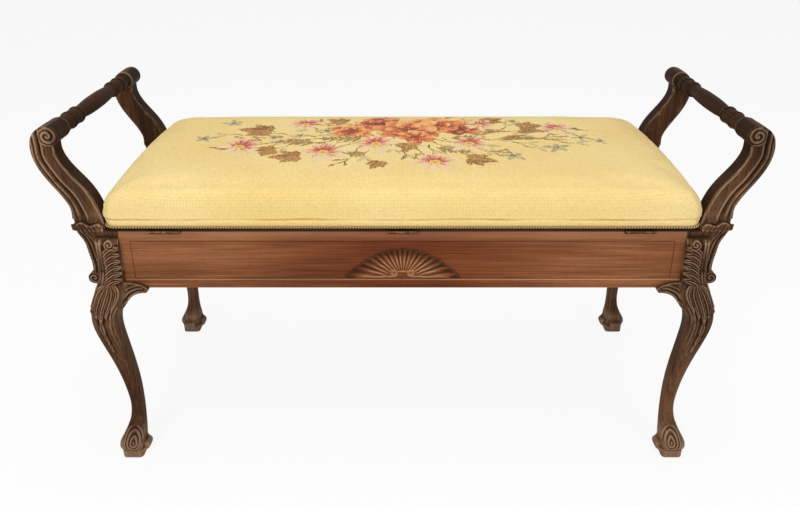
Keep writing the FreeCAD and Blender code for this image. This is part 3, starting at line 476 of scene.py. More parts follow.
# Lid frame: a dark stain, made darker still as painted shade for its edge that shows under the cord
STAINED_SHADED_LID = wood("stained_shaded_wood", "X", ((34, 22, 13), (50, 33, 20), (66, 45, 28)),
               (22, 14, 8), (92, 66, 44), 0.5)
INNER = wood("inner_wood", "X", ((150, 108, 68), (176, 134, 90), (196, 156, 110)),
             (120, 84, 52), (206, 168, 124), 0.6)
BRASS = metal("hinge_brass", ((74, 48, 29), (120, 84, 54)), 0.42)
STEEL = metal("screw_steel", ((58, 54, 48), (120, 116, 108)), 0.4)
LINING = weave("lining_cotton", ((118, 92, 66), (150, 122, 92)), 700.0)
JUTE = weave("webbing_jute", ((128, 100, 62), (176, 146, 100)), 420.0)
HESSIAN = weave("base_hessian", ((142, 116, 74), (186, 158, 112)), 500.0)
STUFFING = weave("stuffing_wadding", ((206, 196, 176), (232, 226, 210)), 160.0)


# Carved corner pieces

def even_copy(node, voxel):
    """A closed copy of a node with evenly spread points, fine enough to carve."""
    mesh = shaped(NODES[node].data.copy(), "REMESH", mode="VOXEL", voxel_size=voxel * MM)
    write_points(mesh, relax(read_points(mesh), read_edges(mesh), (0.5, -0.52) * 3))
    return mesh


def mark_ridges(mesh, full, painted_light_and_tone=None):
    """Store how far points stand above or below the smoothed surface, as a share of full."""
    points, normals = read_points(mesh), read_normals(mesh)
    flat = relax(points, read_edges(mesh), (0.6,) * 8)
    height = ((points - flat) * normals).sum(1) / full
    if painted_light_and_tone is not None:
        height = painted_light_and_tone(points, normals, height)
    # The wood shader darkens low points with painted shade and patina, and lightens high ones with wear and
    # painted highlights
    stored = mesh.attributes.new("ridge", "FLOAT", "POINT")
    stored.data.foreach_set("value", np.clip(height, -1, 1).astype(np.float32))


def mirrored(mesh, side_x, side_y):
    """A copy of a +X +Y piece at another corner."""
    copy = mesh.copy()
    points = read_points(copy) * (side_x, side_y, 1)
    write_points(copy, points)
    if side_x * side_y < 0:
        copy.flip_normals()
    return copy


def carved_corners(prefix, voxel, carve, keep, soft=None, painted_light_and_tone=None, full=0.45):
    """Carve the back right piece of a kind and mirror it to all four corners."""
    mesh = even_copy(prefix + "_back_right", voxel)
    points = carve(read_points(mesh), read_normals(mesh))
    if soft is not None:
        points += soft(points)[:, None] * (relax(points, read_edges(mesh), (0.5,) * 40) - points)
    write_points(mesh, points)
    mesh = shaped(mesh, "DECIMATE", ratio=keep)
    mark_ridges(mesh, full, painted_light_and_tone)
    for place, (side_x, side_y) in CORNERS.items():
        node = prefix + "_" + place
        piece(node + "_carved", mirrored(mesh, side_x, side_y), "stand", "carved_wood", CARVED, node)


def spiral(dx, dz, pitch, turn):
    """Radius, and a wave that is 1 on the ridge of a winding scroll and 0 in its groove."""
    radius = np.hypot(dx, dz)
    phase = radius / pitch + turn * np.arctan2(dz, dx) / (2 * np.pi)
    return radius, 0.5 + 0.5 * np.cos(2 * np.pi * phase)


def leaflet(along, z, line, half, height):
    """A carved leaf from base to tip: rounded body with long flutes that meet at its tip."""
    lift = np.zeros_like(z)
    path = smooth_path(line, 10)
    room = half + 2.0
    near = (np.abs(z - path[:, 1].mean()) < np.ptp(path[:, 1]) / 2 + room)
    near &= np.abs(along - path[:, 0].mean()) < np.ptp(path[:, 0]) / 2 + room
    length, left = beside(path, along[near], z[near])
    total = np.hypot(*np.diff(path, axis=0).T).sum()
    share = np.clip(length / total, 0, 1)
    width = half * np.sin(np.pi * (0.16 + 0.84 * share)) ** 0.75
    side = np.clip(left / np.maximum(width, 0.05), -1, 1)
    flutes = 3 if half > 5.0 else 2
    rise = np.sqrt(1 - side ** 2) - 0.3 * np.cos(flutes * np.pi * (side + 1)) * (1 - side ** 2)
    body = height * (0.6 + 0.4 * share) * rise * smooth_step(1.0, 0.86, share)
    inside = (np.abs(left) < width) & (length > -0.5) & (length < total)
    lift[near] = np.where(inside, body, 0.0)
    return lift


# Leaves up the post, the rosette over them and the reeds on its corner: distances from the outer corner
# and heights from the rail top
POST_LEAVES = 6
POST_LEAF_LOW = -96.0
POST_LEAF_PITCH = 11.2
ROSETTE = (25.0, -18.6)
ROSETTE_PITCH = 4.6
ROSETTE_EDGE = (8.8, 7.6)
CORNER_ROUND = 13.0
CORNER_REED = 6.6


def post_leaves(along, up):
    """Acanthus up the post: slanting leaves that rise to the rail side, under a small rosette."""
    lift = np.full_like(up, -1.2)
    for step in range(POST_LEAVES):
        low = POST_LEAF_LOW + POST_LEAF_PITCH * step
        line = ((CORNER_ROUND, low), (20.0, low + 8.5), (29.0, low + 13.5), (43.0, low + 14.5))
        lift = np.maximum(lift, leaflet(along, up, line, 6.8, 3.6) - 0.8)
    radius, curl = spiral(along - ROSETTE[0], up - ROSETTE[1], ROSETTE_PITCH, -1)
    disc = smooth_step(*ROSETTE_EDGE, radius)
    return lift * (1 - disc) + (2.8 * np.sqrt(curl) - 0.4) * disc


def corner_reeds(along):
    """Two reeds on the outer corner of the post, which is worked round."""
    share = np.clip(1 - along / CORNER_ROUND, 0, 1)
    return 2.4 * reeds(along, CORNER_REED) - 2.0 - 3.6 * share ** 2


# Leaves over the knee and the husks below it: distance from the outer corner and height from the rail top
# of each point from base to tip, then half width and relief
KNEE_LEAVES = (((24.0, -87.0), (35.0, -105.0), (34.0, -135.0), 5.6, 2.8),
               ((16.0, -87.0), (5.5, -103.0), (6.0, -133.0), 5.6, 2.8),
               ((22.0, -87.0), (28.5, -110.0), (26.5, -147.0), 5.8, 3.2),
               ((18.0, -87.0), (11.0, -110.0), (12.5, -146.0), 5.8, 3.2),
               ((20.0, -87.0), (19.5, -115.0), (19.0, -157.0), 6.0, 4.2),
               ((18.5, -153.0), (18.0, -165.0), (17.5, -179.0), 4.6, 2.4),
               ((17.5, -175.0), (17.0, -186.0), (16.5, -199.0), 3.6, 2.0),
               ((16.5, -196.0), (16.0, -205.0), (15.5, -217.0), 2.8, 1.5))


def knee_leaves(along, up):
    lift = np.zeros_like(up)
    for *line, half, height in KNEE_LEAVES:
        lift = np.maximum(lift, leaflet(along, up, line, half, height))
    return lift


# Arches on the front of the foot: place and height of their boss, spacing, edge, stretch upwards and
# how far they follow the splay of the foot
FOOT_BOSS = (25.0, 33.0)
FOOT_ARCH_PITCH = 5.4
FOOT_ARCH_EDGE = (17.5, 14.5)
FOOT_ARCH_STRETCH = 1.9
FOOT_SPLAY = 0.85


def foot_scroll(along, out, z):
    """Nested arches on the front of the foot, round a small boss."""
    upright = out - out[np.argmin(np.abs(z - FOOT_BOSS[1]))]
    dx, dz = along - FOOT_BOSS[0] - FOOT_SPLAY * upright, z - FOOT_BOSS[1]
    radius = np.hypot(dx, np.where(dz > 0, dz / FOOT_ARCH_STRETCH, dz))
    wave = 0.5 + 0.5 * np.cos(2 * np.pi * radius / FOOT_ARCH_PITCH)
    return (2.1 * np.sqrt(wave) - 1.1) * smooth_step(*FOOT_ARCH_EDGE, radius)


# Heights from the rail top over which the carving of post and knee starts
POST_START = (-101.0, -91.0)
KNEE_START = (-85.0, -91.0)
# Heights from the floor over which that of the foot starts and ends, and the foot turns paler
PAD_TOP = 17.0
FOOT_START = (PAD_TOP, 21.0)
FOOT_END = (84.0, 70.0)
FOOT_PALER = (72.0, 36.0)
# Strands down the leg: distance from the outer corner and height from the rail top
LEG_STRANDS = ((37.0, -119.0), (34.0, -136.0), (31.5, -161.0), (28.0, -206.0), (25.0, -256.0))
STRAND_GAP = 4.6
STRAND_RELIEF = 0.9
# Lengths along the strands over which they start and end
STRAND_START = (0.0, 8.0)
STRAND_END = (110.0, 40.0)
# Height of the head of the carving that rolls back
ROLL = 9.0


def carve_leg(points, normals):
    x, y, z = points.T
    a, b = x - POST_X, y - POST_Y
    out = edge_at(z, np.maximum(a, b))
    along = np.maximum(out - a, out - b)
    outer = smooth_step(0.25, 0.7, np.maximum(normals[:, 0], normals[:, 1]))
    inward = smooth_step(11.5, 14.0, along)
    up = z - RAIL_LEVEL
    post = post_leaves(along, up) * inward + corner_reeds(along) * (1 - inward)
    lift = post * smooth_step(*POST_START, up)
    knee = knee_leaves(along, up) * smooth_step(*KNEE_START, up)
    lift = np.where(knee > 0, np.maximum(lift, knee), lift)
    length, left = beside(smooth_path(LEG_STRANDS), along, up)
    strand = ridge(left, 1.7) + 0.8 * ridge(left - STRAND_GAP, 1.5) + 0.6 * ridge(left + STRAND_GAP, 1.5)
    lift += STRAND_RELIEF * strand * smooth_step(*STRAND_START, length) * smooth_step(*STRAND_END, length)
    lift += foot_scroll(along, out, z) * smooth_step(*FOOT_START, z) * smooth_step(*FOOT_END, z)
    lift = lift * smooth_step(LEAF_TOP, LEAF_TOP - 1.5, z)
    return roll_back(points + normals * (lift * outer)[:, None])


def leg_painted_light_and_tone(points, _, height):
    """Painted shade on the head of the post under the seat, then paler towards the foot and palest on its
    pad.
    """
    z = points[:, 2]
    # Painted shade under the seat
    height = np.where(z > LEAF_TOP - 1.0, np.minimum(0.7 * height - 0.5, -0.34), height)
    height = height + 0.46 * smooth_step(*FOOT_PALER, z)
    return np.where(z < PAD_TOP, np.maximum(height, 0.8), height)


def roll_back(points):
    """Turn the head of the carving back under the lid, into the step on top of the post."""
    _, y, z = points.T
    over = np.clip((z - LEAF_TOP + ROLL) / ROLL, 0, 1) * (z < LEAF_TOP + 0.7)
    points[:, 1] = np.where(y > FACE_Y, FACE_Y + (y - FACE_Y) * (1 - 0.55 * over ** 2), y)
    return points


# How squarely a point has to face along Y to belong to a face of an arm or ear
FACING = (0.4, 0.8)
# Middle line of the arm: shares of the way out and up to the scroll, half width
ARM_LINE = ((0.0, 0.0, 24.0), (0.0, 0.145, 21.3), (0.31, 0.37, 19.8), (0.85, 0.57, 18.3),
            (1.24, 0.77, 18.3), (1.27, 0.905, 18.3))
# Moulding across the arm from its inner to its outer edge: share of half width, height
ARM_MOULD = ((-1.0, -2.0), (-0.93, -0.8), (-0.86, -0.2), (-0.8, -0.9), (-0.7, -1.6), (-0.5, -2.2),
             (-0.3, -2.3), (-0.12, -1.8), (-0.02, -0.9), (0.05, -0.1), (0.1, -0.3), (0.16, -2.6),
             (0.24, -3.5), (0.34, -3.3), (0.42, -1.8), (0.5, -0.5), (0.59, -0.1), (0.66, -0.9),
             (0.71, -1.2), (0.76, -0.6), (0.84, 0.1), (0.93, -0.7), (1.0, -2.6))
# The same across its plain inside face
ARM_PLAIN = ((-1.0, -1.8), (-0.92, -0.5), (-0.84, 0.0), (0.84, 0.0), (0.92, -0.5), (1.0, -1.8))


def on_arm(x, z):
    """Length along the arm and place across it: -1 at its inner edge, 1 at its outer one."""
    line = [(ARM_X + sx * (SCROLL_X - ARM_X), RAIL_TOP + sz * (SCROLL_Z - RAIL_TOP), half)
            for sx, sz, half in ARM_LINE]
    path = smooth_path(line)
    length, left = beside(path[:, :2], x, z)
    return length, -left / np.interp(length, run_lengths(path[:, :2]), path[:, 2])


def arm_painted_light(points, normals, height):
    """Painted shade on the flank towards the seat and on the log round the grip's seat, with a painted sheen
    in the broad hollow.
    """
    x, y, z = points.T
    _, share = on_arm(x, z)
    high = smooth_step(CUFF_TOP, RAIL_TOP + 24.0, z)
    # Painted shade on the inner flank
    flank = smooth_step(-0.72, -0.9, share) * smooth_step(0.75, 0.4, np.abs(normals[:, 1]))
    # Painted sheen in the broad hollow of the front moulding
    hollow = smooth_step(-0.86, -0.74, share) * smooth_step(0.08, 0.0, share) * (y > ARM_MIDDLE)
    # Painted shade on the log
    log = y < ARM_BACK - 1.0
    return height + high * (0.42 * hollow * ~log - 0.66 * flank - 0.2 * log)


# Scroll at the head of the arm and veins of its cuff
SCROLL_PITCH = 7.6
SCROLL_DEPTH = 2.8
VEIN_PITCH = 6.4


def carve_arm(points, normals):
    """Mouldings along the arm, the scroll at its head and veins on the cuff at its foot."""
    x, y, z = points.T
    length, share = on_arm(x, z)
    full = smooth_step(4.0, 34.0, length)
    mould, plain = (full * np.interp(share, *zip(*shape)) for shape in (ARM_MOULD, ARM_PLAIN))
    front = y > ARM_MIDDLE
    radius, curl = spiral(x - SCROLL_X, z - SCROLL_Z, SCROLL_PITCH, 1)
    angle = np.arctan2(z - SCROLL_Z, x - SCROLL_X)
    flowing = smooth_step(1.35, 0.7, np.abs(angle - 0.25))
    scroll = np.maximum(SCROLL_DEPTH * np.sqrt(curl), SCROLL_DEPTH * ridge(radius, 3.2)) - SCROLL_DEPTH
    scroll -= 1.6 * smooth_step(SCROLL_R - 2.2, SCROLL_R, radius) * (1 - flowing)
    joined = flowing * smooth_step(SCROLL_R - 6.0, SCROLL_R - 0.5, radius)
    in_scroll = front & (radius < SCROLL_R - 0.2)
    in_cuff = front & (y > ARM_FACE + 0.6) & (z < CUFF_TOP)
    inset = edge_at(np.where(in_cuff, z, RAIL_TOP), np.where(in_cuff, x, 0.0)) - x
    leaning = inset + 0.45 * (z - RAIL_TOP)
    veins = reeds(leaning, VEIN_PITCH) - 1.0
    veins *= smooth_step(RAIL_TOP + 14.0, RAIL_TOP + 11.0, z)
    target = np.where(front, ARM_FACE + mould, ARM_BACK - plain)
    target = np.where(in_scroll, joined * target + (1 - joined) * (SCROLL_OUT + scroll), target)
    target = np.where(in_cuff, y + veins, target)
    facing = smooth_step(*FACING, np.abs(normals[:, 1]))
    rim = flowing * ridge(radius - SCROLL_R, 1.8) * (y > ARM_FACE - 0.5) * (z > SCROLL_Z - 3 * SCROLL_R)
    facing = np.maximum(facing, np.clip(1.5 * rim, 0, 1))
    board = (y > ARM_BACK - 1.0) & (y < ARM_FACE + 8.0)
    result = points.copy()
    result[:, 1] += (target - y) * facing * board
    flare = smooth_step(RAIL_TOP + 42.0, CUFF_TOP, z) * smooth_step(RAIL_TOP + 6.0, RAIL_TOP + 19.0, z)
    result[:, 0] += 4.0 * flare * smooth_step(ARM_X + 6.0, ARM_X + 22.0, x)
    return result


def soft_foot(points):
    """Where the heel rolls run into the foot."""
    inner = np.minimum(points[:, 0] - POST_X, points[:, 1] - POST_Y)
    return smooth_step(0.0, -5.0, inner) * smooth_step(40.0, 33.0, points[:, 2]) * (points[:, 2] > 2.0)


def soft_cuff(points):
    """Where the outer end of the cuff is worked round."""
    return smooth_step(ARM_X + 16.0, ARM_X + 22.0, points[:, 0]) * (points[:, 2] < RAIL_TOP + 19.0)


def soft_ear(points):
    """Where the top end of the ear is worked round."""
    high = smooth_step(RAIL_TOP - 16.0, RAIL_TOP - 8.0, points[:, 2])
    return smooth_step(ARM_X + 11.0, ARM_X + 18.0, points[:, 0]) * high


# Small scroll at the foot of the ear, and the reeds above it
LOBE_R = 10.0
LOBE_PITCH = 6.0
EAR_REED = 6.4


def carve_ear(points, normals):
    """Reeds that follow the outer edge on both faces, down to a small scroll."""
    x, _, z = points.T
    inset = edge_at(z, x) - x
    reed = 2.0 * reeds(inset, EAR_REED) - 1.6
    reed = reed * smooth_step(3.0 * EAR_REED, 2.6 * EAR_REED, inset)
    reed = reed * smooth_step(z.min() + 22.0, z.min() + 26.0, z)
    lobe_z = z.min() + LOBE_R
    lobe_x = x[np.abs(z - lobe_z) < 2.0].max() - LOBE_R
    radius, curl = spiral(x - lobe_x, z - lobe_z, LOBE_PITCH, 1)
    scroll = 1.8 * (np.sqrt(curl) - 1) * smooth_step(LOBE_R + 0.5, LOBE_R - 1.0, radius)
    facing = smooth_step(*FACING, np.abs(normals[:, 1]))
    result = points.copy()
    result[:, 1] += np.sign(normals[:, 1]) * (reed + scroll) * facing
    return result


def bracket_edge():
    """Lower edge of a long bracket from its tip to the leg. The end brackets have the same."""
    tip = POST_IN_X - BRACKET_REACH
    return smooth_path([(tip - 3.0, RAIL_BOTTOM + 3.0), (tip + 5.0, RAIL_BOTTOM - 6.0),
                        (POST_IN_X - 0.62 * BRACKET_REACH, RAIL_BOTTOM - 6.5),
                        (POST_IN_X - 0.25 * BRACKET_REACH, RAIL_BOTTOM - 0.36 * BRACKET_DROP),
                        (POST_IN_X + 2.0, RAIL_BOTTOM - 0.75 * BRACKET_DROP),
                        (POST_IN_X + 26.0, RAIL_BOTTOM - BRACKET_DROP - 8.0)])


BRACKET_REED = 6.2


def bracket_reeds(points, normals, x, face):
    """Reeds that follow the lower edge of a bracket, cut into its outer face."""
    length, left = beside(bracket_edge(), x, points[:, 2])
    reed = 2.2 * reeds(left, BRACKET_REED) - 1.4
    reed = reed * smooth_step(0.5, 2.0, left) * smooth_step(3.1 * BRACKET_REED, 2.7 * BRACKET_REED, left)
    lift = reed * smooth_step(2.0, 9.0, length) * smooth_step(0.3, 0.8, normals[:, face])
    return points + normals * lift[:, None]


def carve_long_bracket(points, normals):
    return bracket_reeds(points, normals, points[:, 0], 1)


def carve_end_bracket(points, normals):
    return bracket_reeds(points, normals, POST_X + points[:, 1] - POST_Y, 0)


carved_corners("leg", 1.1, carve_leg, 0.45, soft_foot, leg_painted_light_and_tone, 0.52)
carved_corners("arm", 1.1, carve_arm, 0.5, soft_cuff, arm_painted_light, 0.5)
carved_corners("ear", 1.0, carve_ear, 0.5, soft_ear)
carved_corners("knee_bracket_long", 0.9, carve_long_bracket, 0.5)
carved_corners("knee_bracket_end", 0.9, carve_end_bracket, 0.5)


# Fan shells on the long rails

FAN_RIBS = 9
FAN_TURN_STEPS = 36
FAN_RINGS = 44
FAN_START = 0.02
FAN_SCALLOP = 0.035
FAN_ANGLES = np.linspace(0, np.pi, FAN_RIBS * FAN_TURN_STEPS + 1)
FAN_SHARES = np.linspace(FAN_START, 1.0, FAN_RINGS)[:, None]
HALVINGS = 40
# Curls beside the hub: place, how far proud, radius at the heart and its growth, points round each and
# along the bead it runs out into
CURL_X = 14.0
CURL_Z = 11.6
CURL_PROUD = 4.8
CURL_HEART = 1.2
CURL_GROWTH = 5.0
CURL_STEPS = 70
BEAD_STEPS = 40
BEAD_LENGTH = 62.0
# Bar between the curls
BAR_HALF = 8.5
BAR_PROUD = 4.6
BAR_STEPS = 24
TUBE_SIDES = 8
# Height of the fan over the rail face, depth of its ribs, its painted shade and the painted highlight on its
# crests, by share of its radius
FAN_DISH = ((0.0, 4.8), (0.12, 5.0), (0.3, 4.6), (0.5, 3.6), (0.7, 2.5), (0.84, 1.7), (0.93, 1.2),
            (0.97, 0.9), (1.0, 0.5))
FAN_RELIEF = ((0.0, 0.0), (0.16, 0.1), (0.34, 1.3), (0.6, 2.6), (0.86, 2.0), (0.95, 0.9), (1.0, 0.1))
FAN_SHADING = ((0.0, 0.0), (0.3, 0.0), (0.5, 0.15), (0.66, 0.0), (0.8, -0.4), (0.92, -0.7), (1.0, -0.5))
FAN_CREST_HIGHLIGHT = ((0.0, 0.0), (0.26, 0.0), (0.4, 0.8), (0.6, 1.0), (0.8, 0.6), (0.92, 0.2), (1.0, 0.0))


def fan_rim(angle):
    """Distance of the fan edge from its hub: a low arch that runs out to points at its ends."""
    half, rise = SHELL_HIGH[0], SHELL_HIGH[2] - SHELL_LOW[2]
    c, s = np.abs(np.cos(angle)), np.sin(angle)
    near, far = np.zeros_like(angle), half / np.maximum(c, half / (2 * rise) * s)
    for _ in range(HALVINGS):
        rim = (near + far) / 2
        inside = rim * s < rise * np.clip(1 - (rim * c / half) ** 2, 0, 1)
        near, far = np.where(inside, rim, near), np.where(inside, far, rim)
    return near


def across_lobes(angle):
    """Place across its lobe, from -1 to 1."""
    return 2 * ((FAN_RIBS * angle / np.pi) % 1.0) - 1


def fan_points():
    """Dished fan of fluted lobes about its hub: x along the rail, y out of it, z up."""
    across = across_lobes(FAN_ANGLES)
    lobe = np.sqrt(np.clip(1 - across ** 2, 0, 1)) - 0.62 * ridge(across, 0.42) - 0.4
    rim = fan_rim(FAN_ANGLES) * (1 - FAN_SCALLOP * np.abs(across) ** 3)
    height = np.interp(FAN_SHARES, *zip(*FAN_DISH)) + np.interp(FAN_SHARES, *zip(*FAN_RELIEF)) * lobe
    radius = FAN_SHARES * rim
    points = np.stack([radius * np.cos(FAN_ANGLES), height, radius * np.sin(FAN_ANGLES)], -1)
    foot = points[-1].copy()
    foot[:, 1] = 0.0
    return np.concatenate([points.reshape(-1, 3), foot]), grid_faces(FAN_RINGS + 1, len(FAN_ANGLES))


def fan_painted_shading(mesh):
    """Painted shade in the grooves and the scooped rim of the fan, and painted highlights on the crests of
    its flutes.
    """
    stored = mesh.attributes["ridge"].data
    value = fetch(stored, "value", 1).ravel()
    across = np.abs(across_lobes(FAN_ANGLES))
    crest_highlight_and_groove_shade = 1.2 * ridge(across - 0.52, 0.2) - 0.9 * ridge(across - 1.0, 0.16) - 0.5 * ridge(across, 0.24)
    shading = np.interp(FAN_SHARES, *zip(*FAN_SHADING)) + crest_highlight_and_groove_shade * np.interp(FAN_SHARES, *zip(*FAN_CREST_HIGHLIGHT))
    value[:shading.size] = np.clip(shading, -1, 1).ravel()
    # Painted shade on the foot of the rim
    value[shading.size:shading.size + len(FAN_ANGLES)] = -0.8
    stored.foreach_set("value", value)


def curl_path(side):
    """A flat scroll beside the hub, running out into a long bead along the base line."""
    turn = np.linspace(0.6, 4.2 * np.pi, CURL_STEPS)
    radius = CURL_HEART + CURL_GROWTH * turn / turn[-1]
    scroll = np.stack([side * (CURL_X + radius * np.sin(turn - turn[-1])),
                       np.full(CURL_STEPS, CURL_PROUD), CURL_Z - radius * np.cos(turn - turn[-1])], -1)
    reach = np.linspace(0.04, 1, BEAD_STEPS)
    bead = np.stack([side * (CURL_X + BEAD_LENGTH * reach), CURL_PROUD - 1.6 * reach,
                     CURL_Z - radius[-1] - 3.0 * reach], -1)
    thick = np.concatenate([np.linspace(0.9, 1.5, CURL_STEPS), np.linspace(1.5, 0.5, BEAD_STEPS)])
    return np.vstack([scroll, bead]), thick


def fan_shell(node, side_y):
    """The fan with its two curls and the bar between them, on one long rail."""
    parts = [fan_points()]
    for side in (-1, 1):
        path, thick = curl_path(side)
        parts.append(tube(path, thick, TUBE_SIDES))
    sweep = np.linspace(-1, 1, BAR_STEPS)
    bar = np.stack([BAR_HALF * sweep, np.full(BAR_STEPS, BAR_PROUD), CURL_Z + 2.8 - 1.4 * sweep ** 2], -1)
    parts.append(tube(bar, 1.5 - 0.5 * np.abs(sweep), TUBE_SIDES))
    points, faces = merged(parts)
    points = points + (0, FACE_Y, SHELL_LOW[2])
    mesh = mesh_of(node, points, faces)
    close_holes(mesh)
    mark_ridges(mesh, 0.35)
    fan_painted_shading(mesh)
    piece(node + "_carved", mirrored(mesh, 1, side_y), "stand", "rail_wood", SHELL_WOOD, node)


def close_holes(mesh):
    """Cap open edges and turn all faces outwards."""
    shape = bmesh.new()
    shape.from_mesh(mesh)
    open_edges = [e for e in shape.edges if e.is_boundary]
    bmesh.ops.holes_fill(shape, edges=open_edges, sides=0)
    bmesh.ops.recalc_face_normals(shape, faces=shape.faces)
    shape.to_mesh(mesh)
    shape.free()
    mesh.update()


fan_shell("shell_back", 1)
fan_shell("shell_front", -1)


# Seat cover, worked in wool on canvas, over its stuffing

TOP_CELLS = (85, 33)
SIDE_ROWS = 11
TOP_STITCHES = 2
SIDE_STITCHES = 3
# Seat side from the top edge to the hem: out from the lid at its ends and at its long sides, height over
# the rail top, corner radius
SEAT_SIDE = ((-8.0, -8.0, 75.4, 22.0), (-1.0, -1.5, 72.6, 20.0), (4.5, 3.5, 68.0, 19.0),
             (8.2, 6.8, 61.0, 18.0), (10.8, 9.2, 51.0, 17.0), (11.6, 10.2, 39.0, 16.0),
             (11.0, 9.8, 30.0, 15.5), (9.0, 8.0, 24.6, 15.0), (5.2, 4.8, 21.6, 14.5),
             (4.0, 3.8, 16.5, 14.5), (3.4, 3.4, 9.5, 14.5))
HEM_TURN = ((2.2, 2.2, 8.4, 14.0), (1.4, 1.4, 16.0, 13.5))
FOLD_Z = RAIL_LEVEL + 22.5
# Rise of the face near its edge, over what distance and how round its corners, and rise to its middle
EDGE_RISE = 3.4
EDGE_REACH = 18.0
EDGE_CORNER = 16.0
MIDDLE_RISE = 1.2
# How far the corners are drawn down, over which distances from the ends and the long sides, and heights
DROOP = 11.0
DROOP_REACH = (28.0, 90.0)
DROOP_Z = (RAIL_LEVEL + 27.0, RAIL_LEVEL + 69.0)
# Lower end of the tucked side, depth and half width of its fold
TUCK_Z = RAIL_LEVEL + 11.0
FOLD_DEPTH = 2.3
FOLD_WIDTH = 1.8
# Drawn wool at the corners: depth, spacing, slope, reach along the side and heights over which it ends
PULL_DEPTH = 0.55
PULL_PITCH = 13.0
PULL_SLOPE = 0.55
PULL_REACH = 24.0
PULL_END = (RAIL_LEVEL + 62.0, RAIL_LEVEL + 39.0)
# Shift along the waves, so that the ends have other ones than the long sides
END_SHIFT = 2000.0
# The cover is drawn with some slack inside its face and pressed out, with its lowest rows held
SLACK = 2.6
HELD_ROWS = 5
FILL_FRAMES = 20
FILL_LIMIT = 4.0
CLOTH = {"quality": 6, "mass": 0.3, "tension_stiffness": 20.0, "compression_stiffness": 20.0,
         "bending_stiffness": 1.0, "use_pressure": True, "uniform_pressure_force": 4.0,
         "vertex_group_mass": "held"}
# Stuffing under the cover, and over the base cloth that it rests on
PAD_UNDER = 3.4
PAD_LIFT = 0.3
# Distance that the worked bunch keeps from the edge of the lid
TOP_MARGIN = 12.0


def round_corners(x, y, half_x, half_y, corner):
    """Points of a square box moved so that its corners are round."""
    a = np.clip((np.abs(x) - half_x + corner) / corner, 0, 1)
    b = np.clip((np.abs(y) - half_y + corner) / corner, 0, 1)
    new_x = np.abs(x) + corner * a * (np.sqrt(1 - b * b / 2) - 1)
    new_y = np.abs(y) + corner * b * (np.sqrt(1 - a * a / 2) - 1)
    return np.sign(x) * new_x, np.sign(y) * new_y


def seat_profile():
    """Side rows spaced evenly along the side, then the hem turned up inside."""
    line = smooth_path(SEAT_SIDE, 12)
    along = run_lengths(line[:, [0, 2]])
    even = np.linspace(0, along[-1], SIDE_ROWS + 1)
    rows = np.stack([np.interp(even, along, line[:, k]) for k in range(4)], -1)
    rows = np.vstack([rows, HEM_TURN])
    rows[:, 2] += RAIL_LEVEL
    return rows


def crown(x, y, half_x, half_y):
    """Height of the seat face over its top edge."""
    from_end, from_side = half_x - np.abs(x), half_y - np.abs(y)
    inside = -EDGE_CORNER * np.log(np.exp(-from_end / EDGE_CORNER) + np.exp(-from_side / EDGE_CORNER))
    edge = EDGE_RISE * (1 - np.exp(-np.clip(inside, 0, None) / EDGE_REACH))
    return edge + MIDDLE_RISE * (1 - (y / half_y) ** 2)


def drooped(points):
    """The seat with its four upper corners drawn down."""
    from_end = np.clip(LID_X - np.abs(points[:, 0]), 0, None)
    from_side = np.clip(LID_Y - np.abs(points[:, 1]), 0, None)
    share = np.exp(-from_end / DROOP_REACH[0] - from_side / DROOP_REACH[1])
    points[:, 2] -= DROOP * share * smooth_step(*DROOP_Z, points[:, 2])
    return points


def seat_grid(inset):
    """Points, faces and stitch counts of the cover, drawn at a depth under its face."""
    profile = seat_profile()
    nx, ny = TOP_CELLS
    half_x, half_y = LID_X + profile[0, 0], LID_Y + profile[0, 1]
    u, v = np.meshgrid(np.linspace(-1, 1, nx + 1), np.linspace(-1, 1, ny + 1))
    x, y = round_corners(u * half_x, v * half_y, half_x, half_y, profile[0, 3])
    z = profile[0, 2] - inset + crown(u * half_x, v * half_y, half_x, half_y)
    points = [np.stack([x, y, z], -1).reshape(-1, 3)]
    counts = [np.stack([u * nx * TOP_STITCHES, v * ny * TOP_STITCHES], -1).reshape(-1, 2)]
    index = np.arange((nx + 1) * (ny + 1)).reshape(ny + 1, nx + 1)
    loop = np.concatenate([index[0, :-1], index[:-1, -1], index[-1, :0:-1], index[:0:-1, 0]])
    faces = grid_faces(ny + 1, nx + 1)
    flat_u, flat_v = u.ravel()[loop], v.ravel()[loop]
    out_u = np.where(np.abs(flat_u) == 1, flat_u, 0)
    out_v = np.where(np.abs(flat_v) == 1, flat_v, 0)
    last = loop
    for row in range(1, len(profile)):
        end_out, side_out, height, corner = profile[row]
        under = inset * smooth_step(FOLD_Z, FOLD_Z + 6.0, height)
        hx, hy = LID_X + end_out - under, LID_Y + side_out - under
        x, y = round_corners(flat_u * hx, flat_v * hy, hx, hy, corner)
        start = sum(len(p) for p in points)
        points.append(np.stack([x, y, np.full(len(loop), height)], -1))
        down = row * SIDE_STITCHES
        counts.append(np.stack([flat_u * nx * TOP_STITCHES + out_u * down,
                                flat_v * ny * TOP_STITCHES + out_v * down], -1))
        ring = start + np.arange(len(loop))
        faces += [(a, d, c, b) for a, b, c, d in zip(last, np.roll(last, -1), np.roll(ring, -1), ring)]
        last = ring
    return drooped(np.vstack(points)), faces, np.vstack(counts), len(loop)


